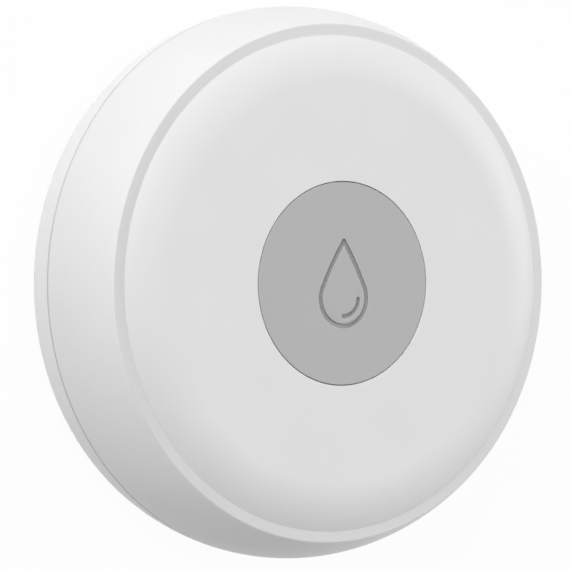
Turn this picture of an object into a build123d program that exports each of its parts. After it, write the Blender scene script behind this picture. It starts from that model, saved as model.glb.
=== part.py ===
from build123d import *
from math import cos, radians, sin, sqrt
import os

# Water leak sensor: a round floor puck with a press button on its face and four steel
# probes in its underside.
# Millimetres. The puck lies flat with its face up, so +Z leaves the face. The origin is on
# the floor under the middle of the case. The tip of the drop on the button points to +Y.

# Outside form of the case
wall_curve_radius = 18.6
base_height = 5.85
widest_rise = 1.4
parting_chamfer = 0.12
ring_width = 1.25
ring_edge_rounding = 0.2
shoulder_width = 5.25
face_rise = 1.58
probe_stand = 0.8
foot_rounding = 2.5

# Walls and the joint between the two shells
side_wall = 1.9
face_wall = 1.6
base_floor_wall = 1.6
tongue_wall = 1.45
tongue_height = 2.3
shell_gap = 0.15
cavity_corner_rounding = 1.2
seal_groove_depth = 0.75
seal_groove_height = 1.1
seal_groove_lip = 0.6
seal_ease = 0.02

# Button cap and its engraved drop
button_radius = 11.22
button_gap = 0.18
button_edge_rounding = 0.12
button_travel = 0.3
cap_thickness = 1.3
cap_skirt_wall = 1.2
cap_flange_width = 1.0
cap_flange_thickness = 0.9
cap_stop_gap = 0.05
cap_press_room = 0.93
stem_radius = 1.6
stem_rib_thickness = 0.8
stem_rib_height = 0.8
key_width = 1.6
key_length = 0.9
key_gap = 0.2
key_count = 2
drop_round_radius = 3.3
drop_round_offset = 1.73
drop_tip_height = 4.87
drop_tip_rounding = 0.25
drop_line_width = 0.5
drop_depth = 0.25
glint_radius = 2.0
glint_line_width = 0.45

# Membrane under the button and the ring that clamps it
clamp_gap = 0.4
clamp_wall = 1.8
membrane_flange_thickness = 0.6
membrane_web = 0.35
membrane_bead_width = 0.95
membrane_bead_height = 1.0
membrane_bead_drop = 0.03
stem_fit = 0.05
clamp_ring_thickness = 1.0
stake_radius = 0.7
stake_head_radius = 1.15
stake_head_height = 0.4
stake_gap = 0.1
stake_count = 4

# Circuit board and the push switch in its middle
board_edge_gap = 0.9
board_thickness = 1.0
contact_room = 0.8
board_notch_gap = 0.3
switch_side = 5.2
switch_base_height = 1.2
switch_wall = 0.6
switch_floor = 0.2
switch_plate_thickness = 0.2
switch_corner_rounding = 0.3
plunger_radius = 1.2
plunger_fit = 0.08
plunger_foot_width = 0.35
dome_sheet = 0.08
dome_lift = 0.4

# Electronics on the board
led_length = 1.6
led_width = 0.8
led_height = 0.6
led_rounding = 0.1
led_gap = 1.6
radio_length = 12.0
radio_width = 8.0
radio_board_thickness = 0.8
radio_angle = 135.0
shield_height = 1.7
shield_sheet = 0.2
shield_margin = 0.6
radio_chip_side = 4.0
radio_chip_height = 0.8
main_chip_side = 4.4
main_chip_height = 0.9
main_chip_angle = 90.0
crystal_length = 3.2
crystal_width = 1.5
crystal_height = 0.7
crystal_rounding = 0.4
crystal_angle = 225.0
capacitor_length = 1.0
capacitor_width = 0.5
capacitor_height = 0.5
capacitor_angle = 45.0
capacitor_rows = 4
resistor_length = 1.0
resistor_width = 0.5
resistor_height = 0.35
resistor_angle = 315.0
resistor_rows = 3
small_part_columns = 2
small_part_pitch = 1.7

# Battery, its holder and its contacts
cell_radius = 12.25
cell_height = 7.7
cell_can_rounding = 0.5
cell_cap_inset = 2.2
cell_cap_step = 0.3
holder_gap = 0.15
holder_wall = 1.3
holder_rise = 0.7
holder_peg_radius = 0.6
peg_gap = 0.1
peg_count = 3
contact_sheet = 0.25
contact_width = 4.0
contact_slot_gap = 0.2
contact_tab_length = 3.2
contact_ease = 0.02
spring_tab_length = 3.0
spring_arm_length = 5.0
spring_tip_length = 2.0

# Battery door, its seal and its bayonet
door_flange_overlap = 0.95
door_flange_thickness = 1.2
door_thickness = 1.6
door_gap = 0.15
door_cell_gap = 1.05
door_skirt_wall = 1.3
door_edge_rounding = 0.25
coin_slot_length = 15.0
coin_slot_width = 2.2
coin_slot_depth = 0.8
lug_length = 1.3
lug_height = 1.1
lug_angle = 16.0
lug_count = 3
lug_ease = 0.1
lug_top_margin = 0.2
door_turn_angle = 45.0
door_drop = 0.6
notch_spare_angle = 3.0
ledge_height = 0.8
bayonet_stop_angle = 4.0
door_seal_ease = 0.05
collar_margin = 0.65
mark_radius = 0.55
mark_depth = 0.2
mark_inset = 1.3
mark_angle = 112.5

# Case screws and their plugs
screw_count = 4
screw_head_radius = 2.1
screw_head_height = 1.4
screw_length = 9.0
screw_core_radius = 0.9
screw_fit = 0.05
screw_clearance = 0.3
screw_seat_depth = 2.6
screw_seat_gap = 0.4
screw_socket_length = 2.2
screw_socket_width = 0.5
screw_socket_depth = 0.8
plug_gap = 0.1
plug_edge_rounding = 0.2
base_boss_wall = 1.5
base_boss_collar_gap = 2.2
base_boss_height = 6.8
top_boss_radius = 2.9
top_boss_gap = 0.15
top_boss_wall_gap = 0.6
top_boss_hole_spare = 1.0

# Probes, their seals and the posts that join them to the board
probe_count = 4
probe_head_radius = 3.0
probe_head_height = 1.4
probe_head_rounding = 0.45
probe_head_gap = 0.1
probe_slot_width = 0.8
probe_slot_depth = 0.5
probe_shank_radius = 1.1
probe_tip_gap = 2.3
probe_fit = 0.08
probe_seal_section = 0.9
probe_seal_ease = 0.03
probe_boss_wall = 0.1
probe_boss_height = 1.2
post_radius = 2.0

# One overrun serves every cut
overrun = 1.0

# Radii that follow from the sizes above, from the coin cell outwards
door_skirt_radius = cell_radius + door_cell_gap + door_skirt_wall
lug_radius = door_skirt_radius + lug_length
track_radius = lug_radius + door_gap
door_flange_radius = track_radius + door_flange_overlap
collar_radius = door_flange_radius + door_gap + collar_margin
probe_boss_radius = probe_head_radius + probe_head_gap + probe_boss_wall
probe_circle_radius = collar_radius + probe_boss_radius
screw_seat_radius = screw_head_radius + screw_seat_gap
base_boss_radius = screw_seat_radius + base_boss_wall
screw_circle_radius = collar_radius + base_boss_collar_gap + base_boss_radius
cavity_radius = screw_circle_radius + top_boss_radius + top_boss_wall_gap
tongue_radius = cavity_radius + tongue_wall
land_radius = tongue_radius + shell_gap
case_radius = land_radius + side_wall
board_radius = cavity_radius - board_edge_gap
wall_centre_radius = case_radius - wall_curve_radius

# Radii of the button and of what holds it, from the middle outwards
button_hole_radius = button_radius + button_gap
cap_flange_radius = button_radius + cap_flange_width
clamp_inner_radius = cap_flange_radius + clamp_gap
clamp_radius = clamp_inner_radius + clamp_wall
stake_circle_radius = clamp_radius + stake_gap + stake_head_radius
clamp_ring_radius = stake_circle_radius + stake_head_radius + stake_gap

# Heights that follow, from the floor upwards
floor_height = probe_stand + base_floor_wall
parting_height = probe_stand + base_height
widest_height = parting_height + widest_rise
cell_bottom = probe_stand + door_thickness
cell_top = cell_bottom + cell_height
board_height = cell_top + contact_room
board_top = board_height + board_thickness
switch_top = board_top + switch_base_height + switch_plate_thickness
plunger_top = switch_top + button_travel + plunger_fit
clamp_ring_bottom = board_top + switch_base_height
clamp_ring_top = clamp_ring_bottom + clamp_ring_thickness
membrane_top = clamp_ring_top + membrane_flange_thickness
cap_flange_bottom = membrane_top + button_travel + cap_press_room
cap_flange_top = cap_flange_bottom + cap_flange_thickness
bead_top = cap_flange_bottom - membrane_bead_drop
ceiling_height = cap_flange_top + cap_stop_gap
face_height = ceiling_height + face_wall
ring_height = face_height - face_rise


def wall_radius(height, inset=0):
    """Radius of the case's curved side at a height, moved in by an inset."""
    curve = wall_curve_radius - inset
    return wall_centre_radius + sqrt(curve**2 - (height - widest_height) ** 2)


def wall_middle(low, high, inset=0):
    """A point of the side's curve halfway between two heights."""
    height = (low + high) / 2
    return (wall_radius(height, inset), height)


ring_outer_radius = wall_radius(ring_height)
ring_inner_radius = ring_outer_radius - ring_width
face_flat_radius = ring_inner_radius - shoulder_width
shoulder_radius = (shoulder_width**2 + face_rise**2) / (2 * face_rise)
shoulder_centre_height = face_height - shoulder_radius


def shoulder_reach(height, inset=0):
    """Radius of the face's rounded shoulder at a height, moved in by an inset."""
    curve = shoulder_radius - inset
    return face_flat_radius + sqrt(curve**2 - (height - shoulder_centre_height) ** 2)


def shoulder_middle(low, high, inset=0):
    """A point of the shoulder's curve halfway between two heights."""
    height = (low + high) / 2
    return (shoulder_reach(height, inset), height)


def ring_places(count, radius, start=0.0):
    """Locations of a ring of equal features, which share the Z axis."""
    return PolarLocations(radius, count, start_angle=start, rotate=True)


def ring_sector(inner, outer, start, sweep):
    """Face of a piece of a flat ring, for the sketch that is open."""
    with BuildLine() as outline:
        far = CenterArc((0, 0), outer, start, sweep)
        near = CenterArc((0, 0), inner, start, sweep)
        Line(far @ 0, near @ 0)
        Line(far @ 1, near @ 1)
    make_face(outline.edges())


def nearest_vertex(across, up):
    """Corner of the open sketch that lies nearest a point of it."""
    return vertices().sort_by_distance((across, up, 0))[0]


def level_place(distance, angle, height):
    """Level plane at a distance and an angle from the middle, with its X pointing outwards."""
    outward = Vector(cos(radians(angle)), sin(radians(angle)), 0)
    return Plane(origin=outward * distance + Vector(0, 0, height), x_dir=outward)


def write(piece, name):
    """Label a finished piece and write its STEP file."""
    piece.part.label = name
    export_step(piece.part, f"parts/{name}.step")


os.makedirs("parts", exist_ok=True)

# Angles that the pieces share, from the +X axis
screw_start = 0.0
probe_start = 180.0 / probe_count
stake_start = probe_start
lock_angles = [360.0 / lug_count * index for index in range(lug_count)]
notch_sweep = lug_angle + 2 * notch_spare_angle

# Heights and radii of the probes
probe_boss_top = floor_height + probe_boss_height
probe_recess_top = probe_head_height
probe_seal_top = probe_recess_top + probe_seal_section + probe_seal_ease
probe_hole_radius = probe_shank_radius + probe_fit

# Heights and radii of the case screws
screw_seat_height = probe_stand + screw_seat_depth
base_boss_top = probe_stand + base_boss_height
top_boss_bottom = base_boss_top + top_boss_gap
screw_top = screw_seat_height + screw_length

# Heights and radii of the bayonet, from the underside upwards
flange_top = probe_stand + door_flange_thickness
door_seal_section = track_radius - door_skirt_radius - 2 * door_seal_ease
seal_recess_top = flange_top + door_seal_section + door_seal_ease
ledge_low = seal_recess_top + ledge_height
ledge_high = ledge_low + door_drop
ledge_inner_radius = door_skirt_radius + door_gap
ramp_radius = (ledge_inner_radius + track_radius) / 2
ramp_slope = door_drop / (2 * ramp_radius * sin(radians(door_turn_angle / 2)))
ramp_middle = (ledge_low + ledge_high) / 2
lug_top = ledge_high + lug_ease + lug_height
track_top = lug_top + lug_top_margin


def ramp_plane(lock_angle):
    """Upright plane in the middle of a ramp, with its X along the ramp's rise."""
    direction = lock_angle - door_turn_angle / 2
    outward = Vector(cos(radians(direction)), sin(radians(direction)), 0)
    along = Vector(-sin(radians(direction)), cos(radians(direction)), 0)
    return Plane(origin=(0, 0, 0), x_dir=along, z_dir=outward)


# Top shell: the side wall above the parting line, the flat ring and the domed face
with BuildPart() as top_shell:
    with BuildSketch(Plane.XZ) as top_form:
        with BuildLine():
            rim = wall_radius(parting_height)
            Line((0, parting_height), (rim, parting_height))
            ThreePointArc(
                (rim, parting_height),
                wall_middle(parting_height, ring_height),
                (ring_outer_radius, ring_height),
            )
            Line((ring_outer_radius, ring_height), (ring_inner_radius, ring_height))
            ThreePointArc(
                (ring_inner_radius, ring_height),
                shoulder_middle(ring_height, face_height),
                (face_flat_radius, face_height),
            )
            Polyline((face_flat_radius, face_height), (0, face_height), (0, parting_height))
        make_face()
        chamfer(nearest_vertex(rim, parting_height), parting_chamfer)
        fillet(nearest_vertex(ring_outer_radius, ring_height), ring_edge_rounding)
    revolve(axis=Axis.Z)
    outer_form = top_shell.part
    with BuildSketch(Plane.XZ):
        with BuildLine():
            shelf = ring_height - side_wall
            bottom = parting_height - overrun
            Polyline((0, bottom), (land_radius, bottom), (land_radius, widest_height))
            ThreePointArc(
                (land_radius, widest_height),
                wall_middle(widest_height, shelf, side_wall),
                (wall_radius(shelf, side_wall), shelf),
            )
            Line((wall_radius(shelf, side_wall), shelf), (shoulder_reach(shelf, face_wall), shelf))
            ThreePointArc(
                (shoulder_reach(shelf, face_wall), shelf),
                shoulder_middle(shelf, ceiling_height, face_wall),
                (face_flat_radius, ceiling_height),
            )
            Polyline((face_flat_radius, ceiling_height), (0, ceiling_height), (0, bottom))
        make_face()
    revolve(axis=Axis.Z, mode=Mode.SUBTRACT)
    # Bosses for the case screws, trimmed to the outside of the shell
    with BuildSketch(Plane.XY.offset(top_boss_bottom)):
        with ring_places(screw_count, screw_circle_radius, screw_start):
            Circle(top_boss_radius)
    extrude(amount=face_height - top_boss_bottom)
    # Round wall that guides the button and clamps the membrane
    with BuildSketch(Plane.XY.offset(membrane_top)):
        Circle(clamp_radius)
        Circle(clamp_inner_radius, mode=Mode.SUBTRACT)
        with ring_places(key_count, clamp_inner_radius):
            Rectangle(2 * (key_length + key_gap - clamp_gap), key_width + 2 * key_gap, mode=Mode.SUBTRACT)
    extrude(amount=face_height - membrane_top)
    # Stakes that hold the clamp ring, with their heads closed over it
    with BuildSketch(Plane.XY.offset(clamp_ring_bottom)):
        with ring_places(stake_count, stake_circle_radius, stake_start):
            Circle(stake_radius)
    extrude(amount=face_height - clamp_ring_bottom)
    with BuildSketch(Plane.XY.offset(clamp_ring_bottom)):
        with ring_places(stake_count, stake_circle_radius, stake_start):
            Circle(stake_head_radius)
    extrude(amount=-stake_head_height)
    add(outer_form, mode=Mode.INTERSECT)
    with BuildSketch(Plane.XY.offset(ceiling_height - overrun)):
        Circle(button_hole_radius)
    extrude(amount=face_wall + 2 * overrun, mode=Mode.SUBTRACT)
    with BuildSketch(Plane.XY.offset(top_boss_bottom)):
        with ring_places(screw_count, screw_circle_radius, screw_start):
            Circle(screw_core_radius + screw_fit)
    extrude(amount=screw_top + top_boss_hole_spare - top_boss_bottom, mode=Mode.SUBTRACT)
write(top_shell, "top_shell")

# Ledge inside the base that the door's lugs ride on, with a ramp and a stop for each lug
with BuildPart() as ledge:
    with BuildSketch(Plane.XY.offset(seal_recess_top)):
        Circle((track_radius + collar_radius) / 2)
        Circle(ledge_inner_radius, mode=Mode.SUBTRACT)
    extrude(amount=ledge_high + door_drop - seal_recess_top)
    for lock_angle in lock_angles:
        reach = track_radius * sin(radians(door_turn_angle / 2 + lug_angle))
        rise = ramp_slope * reach
        with BuildSketch(ramp_plane(lock_angle)):
            with BuildLine():
                Polyline(
                    (-reach, ramp_middle - rise),
                    (reach, ramp_middle + rise),
                    (reach, track_top + overrun),
                    (-reach, track_top + overrun),
                    close=True,
                )
            make_face()
        extrude(amount=collar_radius, mode=Mode.SUBTRACT)
    with BuildSketch(Plane.XY.offset(seal_recess_top)):
        for lock_angle in lock_angles:
            middle = lock_angle - door_turn_angle
            ring_sector(
                ledge_inner_radius - door_gap, track_radius, middle - notch_sweep / 2, notch_sweep
            )
    extrude(amount=track_top - seal_recess_top, mode=Mode.SUBTRACT)
    with BuildSketch(Plane.XY.offset(seal_recess_top)):
        for lock_angle in lock_angles:
            edge = lock_angle + lug_angle / 2 + notch_spare_angle
            ring_sector(
                ledge_inner_radius, (track_radius + collar_radius) / 2, edge, bayonet_stop_angle
            )
    extrude(amount=track_top - seal_recess_top)

# Base shell: the floor, the side wall below the parting line and the tongue inside the joint
with BuildPart() as base_shell:
    with BuildSketch(Plane.XZ):
        with BuildLine():
            rim = wall_radius(parting_height)
            foot = wall_radius(probe_stand)
            ThreePointArc(
                (foot, probe_stand),
                wall_middle(probe_stand, parting_height),
                (rim, parting_height),
            )
            Polyline(
                (rim, parting_height),
                (tongue_radius, parting_height),
                (tongue_radius, parting_height + tongue_height),
                (0, parting_height + tongue_height),
                (0, probe_stand),
                (foot, probe_stand),
            )
        make_face()
        chamfer(nearest_vertex(rim, parting_height), parting_chamfer)
        fillet(nearest_vertex(foot, probe_stand), foot_rounding)
    revolve(axis=Axis.Z)
    with BuildSketch(Plane.XZ):
        with BuildLine():
            Polyline(
                (0, floor_height),
                (cavity_radius, floor_height),
                (cavity_radius, parting_height + tongue_height + overrun),
                (0, parting_height + tongue_height + overrun),
                close=True,
            )
        make_face()
        fillet(nearest_vertex(cavity_radius, floor_height), cavity_corner_rounding)
    revolve(axis=Axis.Z, mode=Mode.SUBTRACT)
    # Groove for the housing seal, around the tongue
    seal_groove_top = parting_height + tongue_height - seal_groove_lip
    with BuildSketch(Plane.XY.offset(seal_groove_top)):
        Circle(tongue_radius + shell_gap)
        Circle(tongue_radius - seal_groove_depth, mode=Mode.SUBTRACT)
    extrude(amount=-seal_groove_height, mode=Mode.SUBTRACT)
    # Bosses for the case screws and the probes, and the collar round the battery door
    with BuildSketch(Plane.XY.offset(probe_stand)):
        with ring_places(screw_count, screw_circle_radius, screw_start):
            Circle(base_boss_radius)
    extrude(amount=base_boss_height)
    with BuildSketch(Plane.XY.offset(probe_stand)):
        with ring_places(probe_count, probe_circle_radius, probe_start):
            Circle(probe_boss_radius)
    extrude(amount=probe_boss_top - probe_stand)
    with BuildSketch(Plane.XY.offset(probe_stand)):
        Circle(collar_radius)
    extrude(amount=track_top - probe_stand)
    with BuildSketch(Plane.XY.offset(probe_stand - overrun)):
        Circle(track_radius)
    extrude(amount=track_top - probe_stand + 2 * overrun, mode=Mode.SUBTRACT)
    add(ledge.part)
    # Recess for the door's flange
    with BuildSketch(Plane.XY.offset(probe_stand - overrun)):
        Circle(door_flange_radius + door_gap)
    extrude(amount=door_flange_thickness + door_seal_ease + overrun, mode=Mode.SUBTRACT)
    # Screw holes with their seats
    with BuildSketch(Plane.XY.offset(probe_stand - overrun)):
        with ring_places(screw_count, screw_circle_radius, screw_start):
            Circle(screw_core_radius + screw_clearance)
    extrude(amount=base_boss_height + 2 * overrun, mode=Mode.SUBTRACT)
    with BuildSketch(Plane.XY.offset(probe_stand - overrun)):
        with ring_places(screw_count, screw_circle_radius, screw_start):
            Circle(screw_seat_radius)
    extrude(amount=screw_seat_depth + overrun, mode=Mode.SUBTRACT)
    # Probe holes, with a recess for each head and room for each seal
    with BuildSketch(Plane.XY.offset(probe_stand - overrun)):
        with ring_places(probe_count, probe_circle_radius, probe_start):
            Circle(probe_hole_radius)
    extrude(amount=probe_boss_top - probe_stand + 2 * overrun, mode=Mode.SUBTRACT)
    with BuildSketch(Plane.XY.offset(probe_recess_top)):
        with ring_places(probe_count, probe_circle_radius, probe_start):
            Circle(probe_shank_radius + probe_seal_section + 2 * probe_seal_ease)
    extrude(amount=probe_seal_top - probe_recess_top, mode=Mode.SUBTRACT)
    with BuildSketch(Plane.XY.offset(probe_recess_top)):
        with ring_places(probe_count, probe_circle_radius, probe_start):
            Circle(probe_head_radius + probe_head_gap)
    extrude(amount=-probe_head_height, mode=Mode.SUBTRACT)
    # Dots in the underside that show where the door is locked and where it comes off
    with BuildSketch(Plane.XY.offset(probe_stand)):
        mark_circle_radius = door_flange_radius + door_gap + mark_inset
        for angle in (mark_angle, mark_angle - door_turn_angle):
            with Locations(level_place(mark_circle_radius, angle, 0).origin):
                Circle(mark_radius)
    extrude(amount=mark_depth, mode=Mode.SUBTRACT)
write(base_shell, "base_shell")

# Housing seal: a rubber cord ring in the groove of the tongue
with BuildPart() as housing_seal:
    groove_bottom_radius = tongue_radius - seal_groove_depth
    seal_section_radius = (land_radius - groove_bottom_radius) / 2 - seal_ease
    seal_middle_radius = (land_radius + groove_bottom_radius) / 2
    seal_height = parting_height + tongue_height - seal_groove_lip - seal_groove_height / 2
    with BuildSketch(Plane.XZ):
        with Locations((seal_middle_radius, seal_height)):
            Circle(seal_section_radius)
    revolve(axis=Axis.Z)
write(housing_seal, "housing_seal")

# Case screws, from below, with a cross recess in each head
with BuildPart() as case_screws:
    with BuildSketch(Plane.XY.offset(screw_seat_height)):
        with ring_places(screw_count, screw_circle_radius, screw_start):
            Circle(screw_head_radius)
    extrude(amount=-screw_head_height)
    with BuildSketch(Plane.XY.offset(screw_seat_height)):
        with ring_places(screw_count, screw_circle_radius, screw_start):
            Circle(screw_core_radius)
    extrude(amount=screw_length)
    with BuildSketch(Plane.XY.offset(screw_seat_height - screw_head_height)):
        with ring_places(screw_count, screw_circle_radius, screw_start):
            Rectangle(screw_socket_length, screw_socket_width)
            Rectangle(screw_socket_width, screw_socket_length)
    extrude(amount=screw_socket_depth, mode=Mode.SUBTRACT)
write(case_screws, "case_screws")

# Rubber plugs that close the screw holes flush with the underside
with BuildPart() as screw_plugs:
    with BuildSketch(Plane.XY.offset(probe_stand)):
        with ring_places(screw_count, screw_circle_radius, screw_start):
            Circle(screw_seat_radius - plug_gap)
    extrude(amount=screw_seat_depth - screw_head_height - plug_gap)
    chamfer(edges().group_by(Axis.Z)[0], plug_edge_rounding)
write(screw_plugs, "screw_plugs")

# Probes: steel screws whose broad heads are the feet of the puck
with BuildPart() as probe_screws:
    with BuildSketch(Plane.XY):
        with ring_places(probe_count, probe_circle_radius, probe_start):
            Circle(probe_head_radius)
    extrude(amount=probe_head_height)
    fillet(edges().filter_by(GeomType.CIRCLE).group_by(Axis.Z)[0], probe_head_rounding)
    with BuildSketch(Plane.XY.offset(probe_head_height)):
        with ring_places(probe_count, probe_circle_radius, probe_start):
            Circle(probe_shank_radius)
    extrude(amount=board_height - probe_tip_gap - probe_head_height)
    with BuildSketch(Plane.XY):
        with ring_places(probe_count, probe_circle_radius, probe_start):
            SlotOverall(2 * (probe_head_radius - probe_head_rounding - probe_slot_width), probe_slot_width)
    extrude(amount=probe_slot_depth, mode=Mode.SUBTRACT)
write(probe_screws, "probe_screws")

# Probe seals: a small cord ring round each shank, above the head
with BuildPart(Plane.XY.offset((probe_recess_top + probe_seal_top) / 2)) as probe_seals:
    section_radius = (probe_seal_section - probe_seal_ease) / 2
    with ring_places(probe_count, probe_circle_radius, probe_start):
        Torus(probe_shank_radius + probe_seal_ease + section_radius, section_radius)
write(probe_seals, "probe_seals")

# Brass posts, soldered under the board, that the probes screw into
with BuildPart() as probe_posts:
    with BuildSketch(Plane.XY.offset(probe_boss_top)):
        with ring_places(probe_count, probe_circle_radius, probe_start):
            Circle(post_radius)
            Circle(probe_hole_radius, mode=Mode.SUBTRACT)
    extrude(amount=board_height - probe_boss_top)
write(probe_posts, "probe_posts")

# Lugs of the battery door, each with its underside along the ramp that it rides on
with BuildPart() as lugs:
    with BuildSketch(Plane.XY.offset(ledge_low)):
        for lock_angle in lock_angles:
            ring_sector(
                door_skirt_radius - door_skirt_wall / 2, lug_radius, lock_angle - lug_angle / 2, lug_angle
            )
    extrude(amount=lug_top - ledge_low)
    for lock_angle in lock_angles:
        near = 0
        reach = track_radius * sin(radians(door_turn_angle / 2 + lug_angle))
        lowest = ramp_middle + lug_ease
        with BuildSketch(ramp_plane(lock_angle)):
            with BuildLine():
                Polyline(
                    (near, lowest),
                    (reach, lowest + ramp_slope * reach),
                    (reach, ledge_low - overrun),
                    (near, ledge_low - overrun),
                    close=True,
                )
            make_face()
        extrude(amount=collar_radius, mode=Mode.SUBTRACT)

# Battery door: a disc with a skirt, three lugs and a coin slot
with BuildPart() as battery_door:
    with BuildSketch(Plane.XY.offset(probe_stand)):
        Circle(door_flange_radius)
    extrude(amount=door_flange_thickness)
    fillet(edges().group_by(Axis.Z)[0], door_edge_rounding)
    with BuildSketch(Plane.XY.offset(flange_top)):
        Circle(door_skirt_radius)
    extrude(amount=lug_top - flange_top)
    add(lugs.part)
    with BuildSketch(Plane.XY.offset(cell_bottom)):
        Circle(door_skirt_radius - door_skirt_wall)
    extrude(amount=lug_top - cell_bottom + overrun, mode=Mode.SUBTRACT)
    with BuildSketch(Plane.XY.offset(probe_stand)):
        SlotOverall(coin_slot_length, coin_slot_width)
    extrude(amount=coin_slot_depth, mode=Mode.SUBTRACT)
    with BuildSketch(Plane.XY.offset(probe_stand)):
        with Locations(level_place(door_flange_radius - mark_inset, mark_angle, 0).origin):
            Circle(mark_radius)
    extrude(amount=mark_depth, mode=Mode.SUBTRACT)
write(battery_door, "battery_door")

# Door seal: a cord ring round the skirt, on the flange
with BuildPart() as door_seal:
    section_radius = door_seal_section / 2
    with BuildSketch(Plane.XZ):
        with Locations((door_skirt_radius + door_seal_ease + section_radius, flange_top + section_radius)):
            Circle(section_radius)
    revolve(axis=Axis.Z)
write(door_seal, "door_seal")

# Coin cell: the positive can, with the smaller negative cap upwards
with BuildPart() as battery_cell:
    with BuildSketch(Plane.XZ):
        with BuildLine():
            Polyline(
                (0, cell_bottom),
                (cell_radius, cell_bottom),
                (cell_radius, cell_top - cell_cap_step),
                (cell_radius - cell_cap_inset, cell_top - cell_cap_step),
                (cell_radius - cell_cap_inset, cell_top),
                (0, cell_top),
                close=True,
            )
        make_face()
        fillet(nearest_vertex(cell_radius, cell_bottom), cell_can_rounding)
        fillet(nearest_vertex(cell_radius, cell_top - cell_cap_step), cell_can_rounding)
    revolve(axis=Axis.Z)
write(battery_cell, "battery_cell")

# Battery holder: a ring under the board that keeps the cell in the middle
holder_inner_radius = cell_radius + holder_gap
holder_radius = holder_inner_radius + holder_wall
holder_bottom = lug_top + holder_rise
with BuildPart() as battery_holder:
    with BuildSketch(Plane.XY.offset(holder_bottom)):
        Circle(holder_radius)
        Circle(holder_inner_radius, mode=Mode.SUBTRACT)
        with Locations((-holder_radius, 0)):
            Rectangle(4 * holder_wall, contact_width + 2 * contact_slot_gap, mode=Mode.SUBTRACT)
    extrude(amount=board_height - holder_bottom)
    with BuildSketch(Plane.XY.offset(board_height)):
        with ring_places(peg_count, (holder_inner_radius + holder_radius) / 2):
            Circle(holder_peg_radius)
    extrude(amount=board_thickness)
write(battery_holder, "battery_holder")

# Positive contact: a strip that leaves the board and presses on the side of the cell
with BuildPart() as positive_contact:
    near = -cell_radius - contact_ease
    with BuildSketch(Plane.XZ.offset(-contact_width / 2)):
        with BuildLine():
            Polyline(
                (near, holder_bottom),
                (near, board_height),
                (near - contact_tab_length, board_height),
                (near - contact_tab_length, board_height - contact_sheet),
                (near - contact_sheet, board_height - contact_sheet),
                (near - contact_sheet, holder_bottom),
                close=True,
            )
        make_face()
    extrude(amount=contact_width)
write(positive_contact, "positive_contact")

# Negative contact: a bent spring under the board that rests on the cell's cap
with BuildPart() as negative_contact:
    tip_height = cell_top + contact_ease
    tip_lift = (board_height - tip_height) / 2
    tab_end = spring_tab_length + spring_arm_length / 2
    bend_start = spring_arm_length / 2
    with BuildSketch(Plane.XZ.offset(-contact_width / 2)):
        with BuildLine():
            Polyline(
                (tab_end, board_height),
                (bend_start, board_height),
                (-bend_start, tip_height + contact_sheet),
                (-bend_start - spring_tip_length, tip_height + tip_lift + contact_sheet),
                (-bend_start - spring_tip_length, tip_height + tip_lift),
                (-bend_start, tip_height),
                (bend_start, board_height - contact_sheet),
                (tab_end, board_height - contact_sheet),
                close=True,
            )
        make_face()
    extrude(amount=contact_width)
write(negative_contact, "negative_contact")

# Circuit board, notched round the screw bosses
with BuildPart() as circuit_board:
    with BuildSketch(Plane.XY.offset(board_height)):
        Circle(board_radius)
        with ring_places(screw_count, screw_circle_radius, screw_start):
            Circle(top_boss_radius + board_notch_gap, mode=Mode.SUBTRACT)
            with Locations((top_boss_radius + board_notch_gap, 0)):
                Rectangle(
                    2 * (top_boss_radius + board_notch_gap),
                    2 * (top_boss_radius + board_notch_gap),
                    mode=Mode.SUBTRACT,
                )
        with ring_places(peg_count, (holder_inner_radius + holder_radius) / 2):
            Circle(holder_peg_radius + peg_gap, mode=Mode.SUBTRACT)
    extrude(amount=board_thickness)
write(circuit_board, "circuit_board")

# Push switch: a cup, a snap dome, a plunger and a top plate
plunger_foot_radius = plunger_radius + plunger_foot_width
dome_bottom = board_top + switch_floor
dome_top = dome_bottom + dome_lift
switch_cavity_radius = switch_side / 2 - switch_wall
dome_radius = switch_cavity_radius - plunger_fit
with BuildPart() as switch_body:
    with BuildSketch(Plane.XY.offset(board_top)):
        RectangleRounded(switch_side, switch_side, switch_corner_rounding)
    extrude(amount=switch_base_height)
    with BuildSketch(Plane.XY.offset(dome_bottom)):
        Circle(switch_cavity_radius)
    extrude(amount=switch_base_height, mode=Mode.SUBTRACT)
write(switch_body, "switch_body")
with BuildPart() as switch_plate:
    with BuildSketch(Plane.XY.offset(board_top + switch_base_height)):
        RectangleRounded(switch_side, switch_side, switch_corner_rounding)
        Circle(plunger_radius + plunger_fit, mode=Mode.SUBTRACT)
    extrude(amount=switch_plate_thickness)
write(switch_plate, "switch_plate")
with BuildPart() as switch_plunger:
    with BuildSketch(Plane.XY.offset(dome_top)):
        Circle(plunger_radius)
    extrude(amount=plunger_top - dome_top)
    with BuildSketch(Plane.XY.offset(dome_top)):
        Circle(plunger_foot_radius)
    extrude(amount=board_top + switch_base_height - plunger_fit - dome_top)
write(switch_plunger, "switch_plunger")
with BuildPart() as switch_dome:
    dome_curve = (dome_radius**2 + dome_lift**2) / (2 * dome_lift)
    dome_centre = dome_top - dome_curve
    hollow_curve = dome_curve - dome_sheet
    hollow_radius = sqrt(hollow_curve**2 - (dome_bottom - dome_centre) ** 2)
    with BuildSketch(Plane.XZ):
        with BuildLine():
            RadiusArc((0, dome_top), (dome_radius, dome_bottom), dome_curve)
            Line((dome_radius, dome_bottom), (hollow_radius, dome_bottom))
            RadiusArc((hollow_radius, dome_bottom), (0, dome_top - dome_sheet), -hollow_curve)
            Line((0, dome_top - dome_sheet), (0, dome_top))
        make_face()
    revolve(axis=Axis.Z)
write(switch_dome, "switch_dome")

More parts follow.
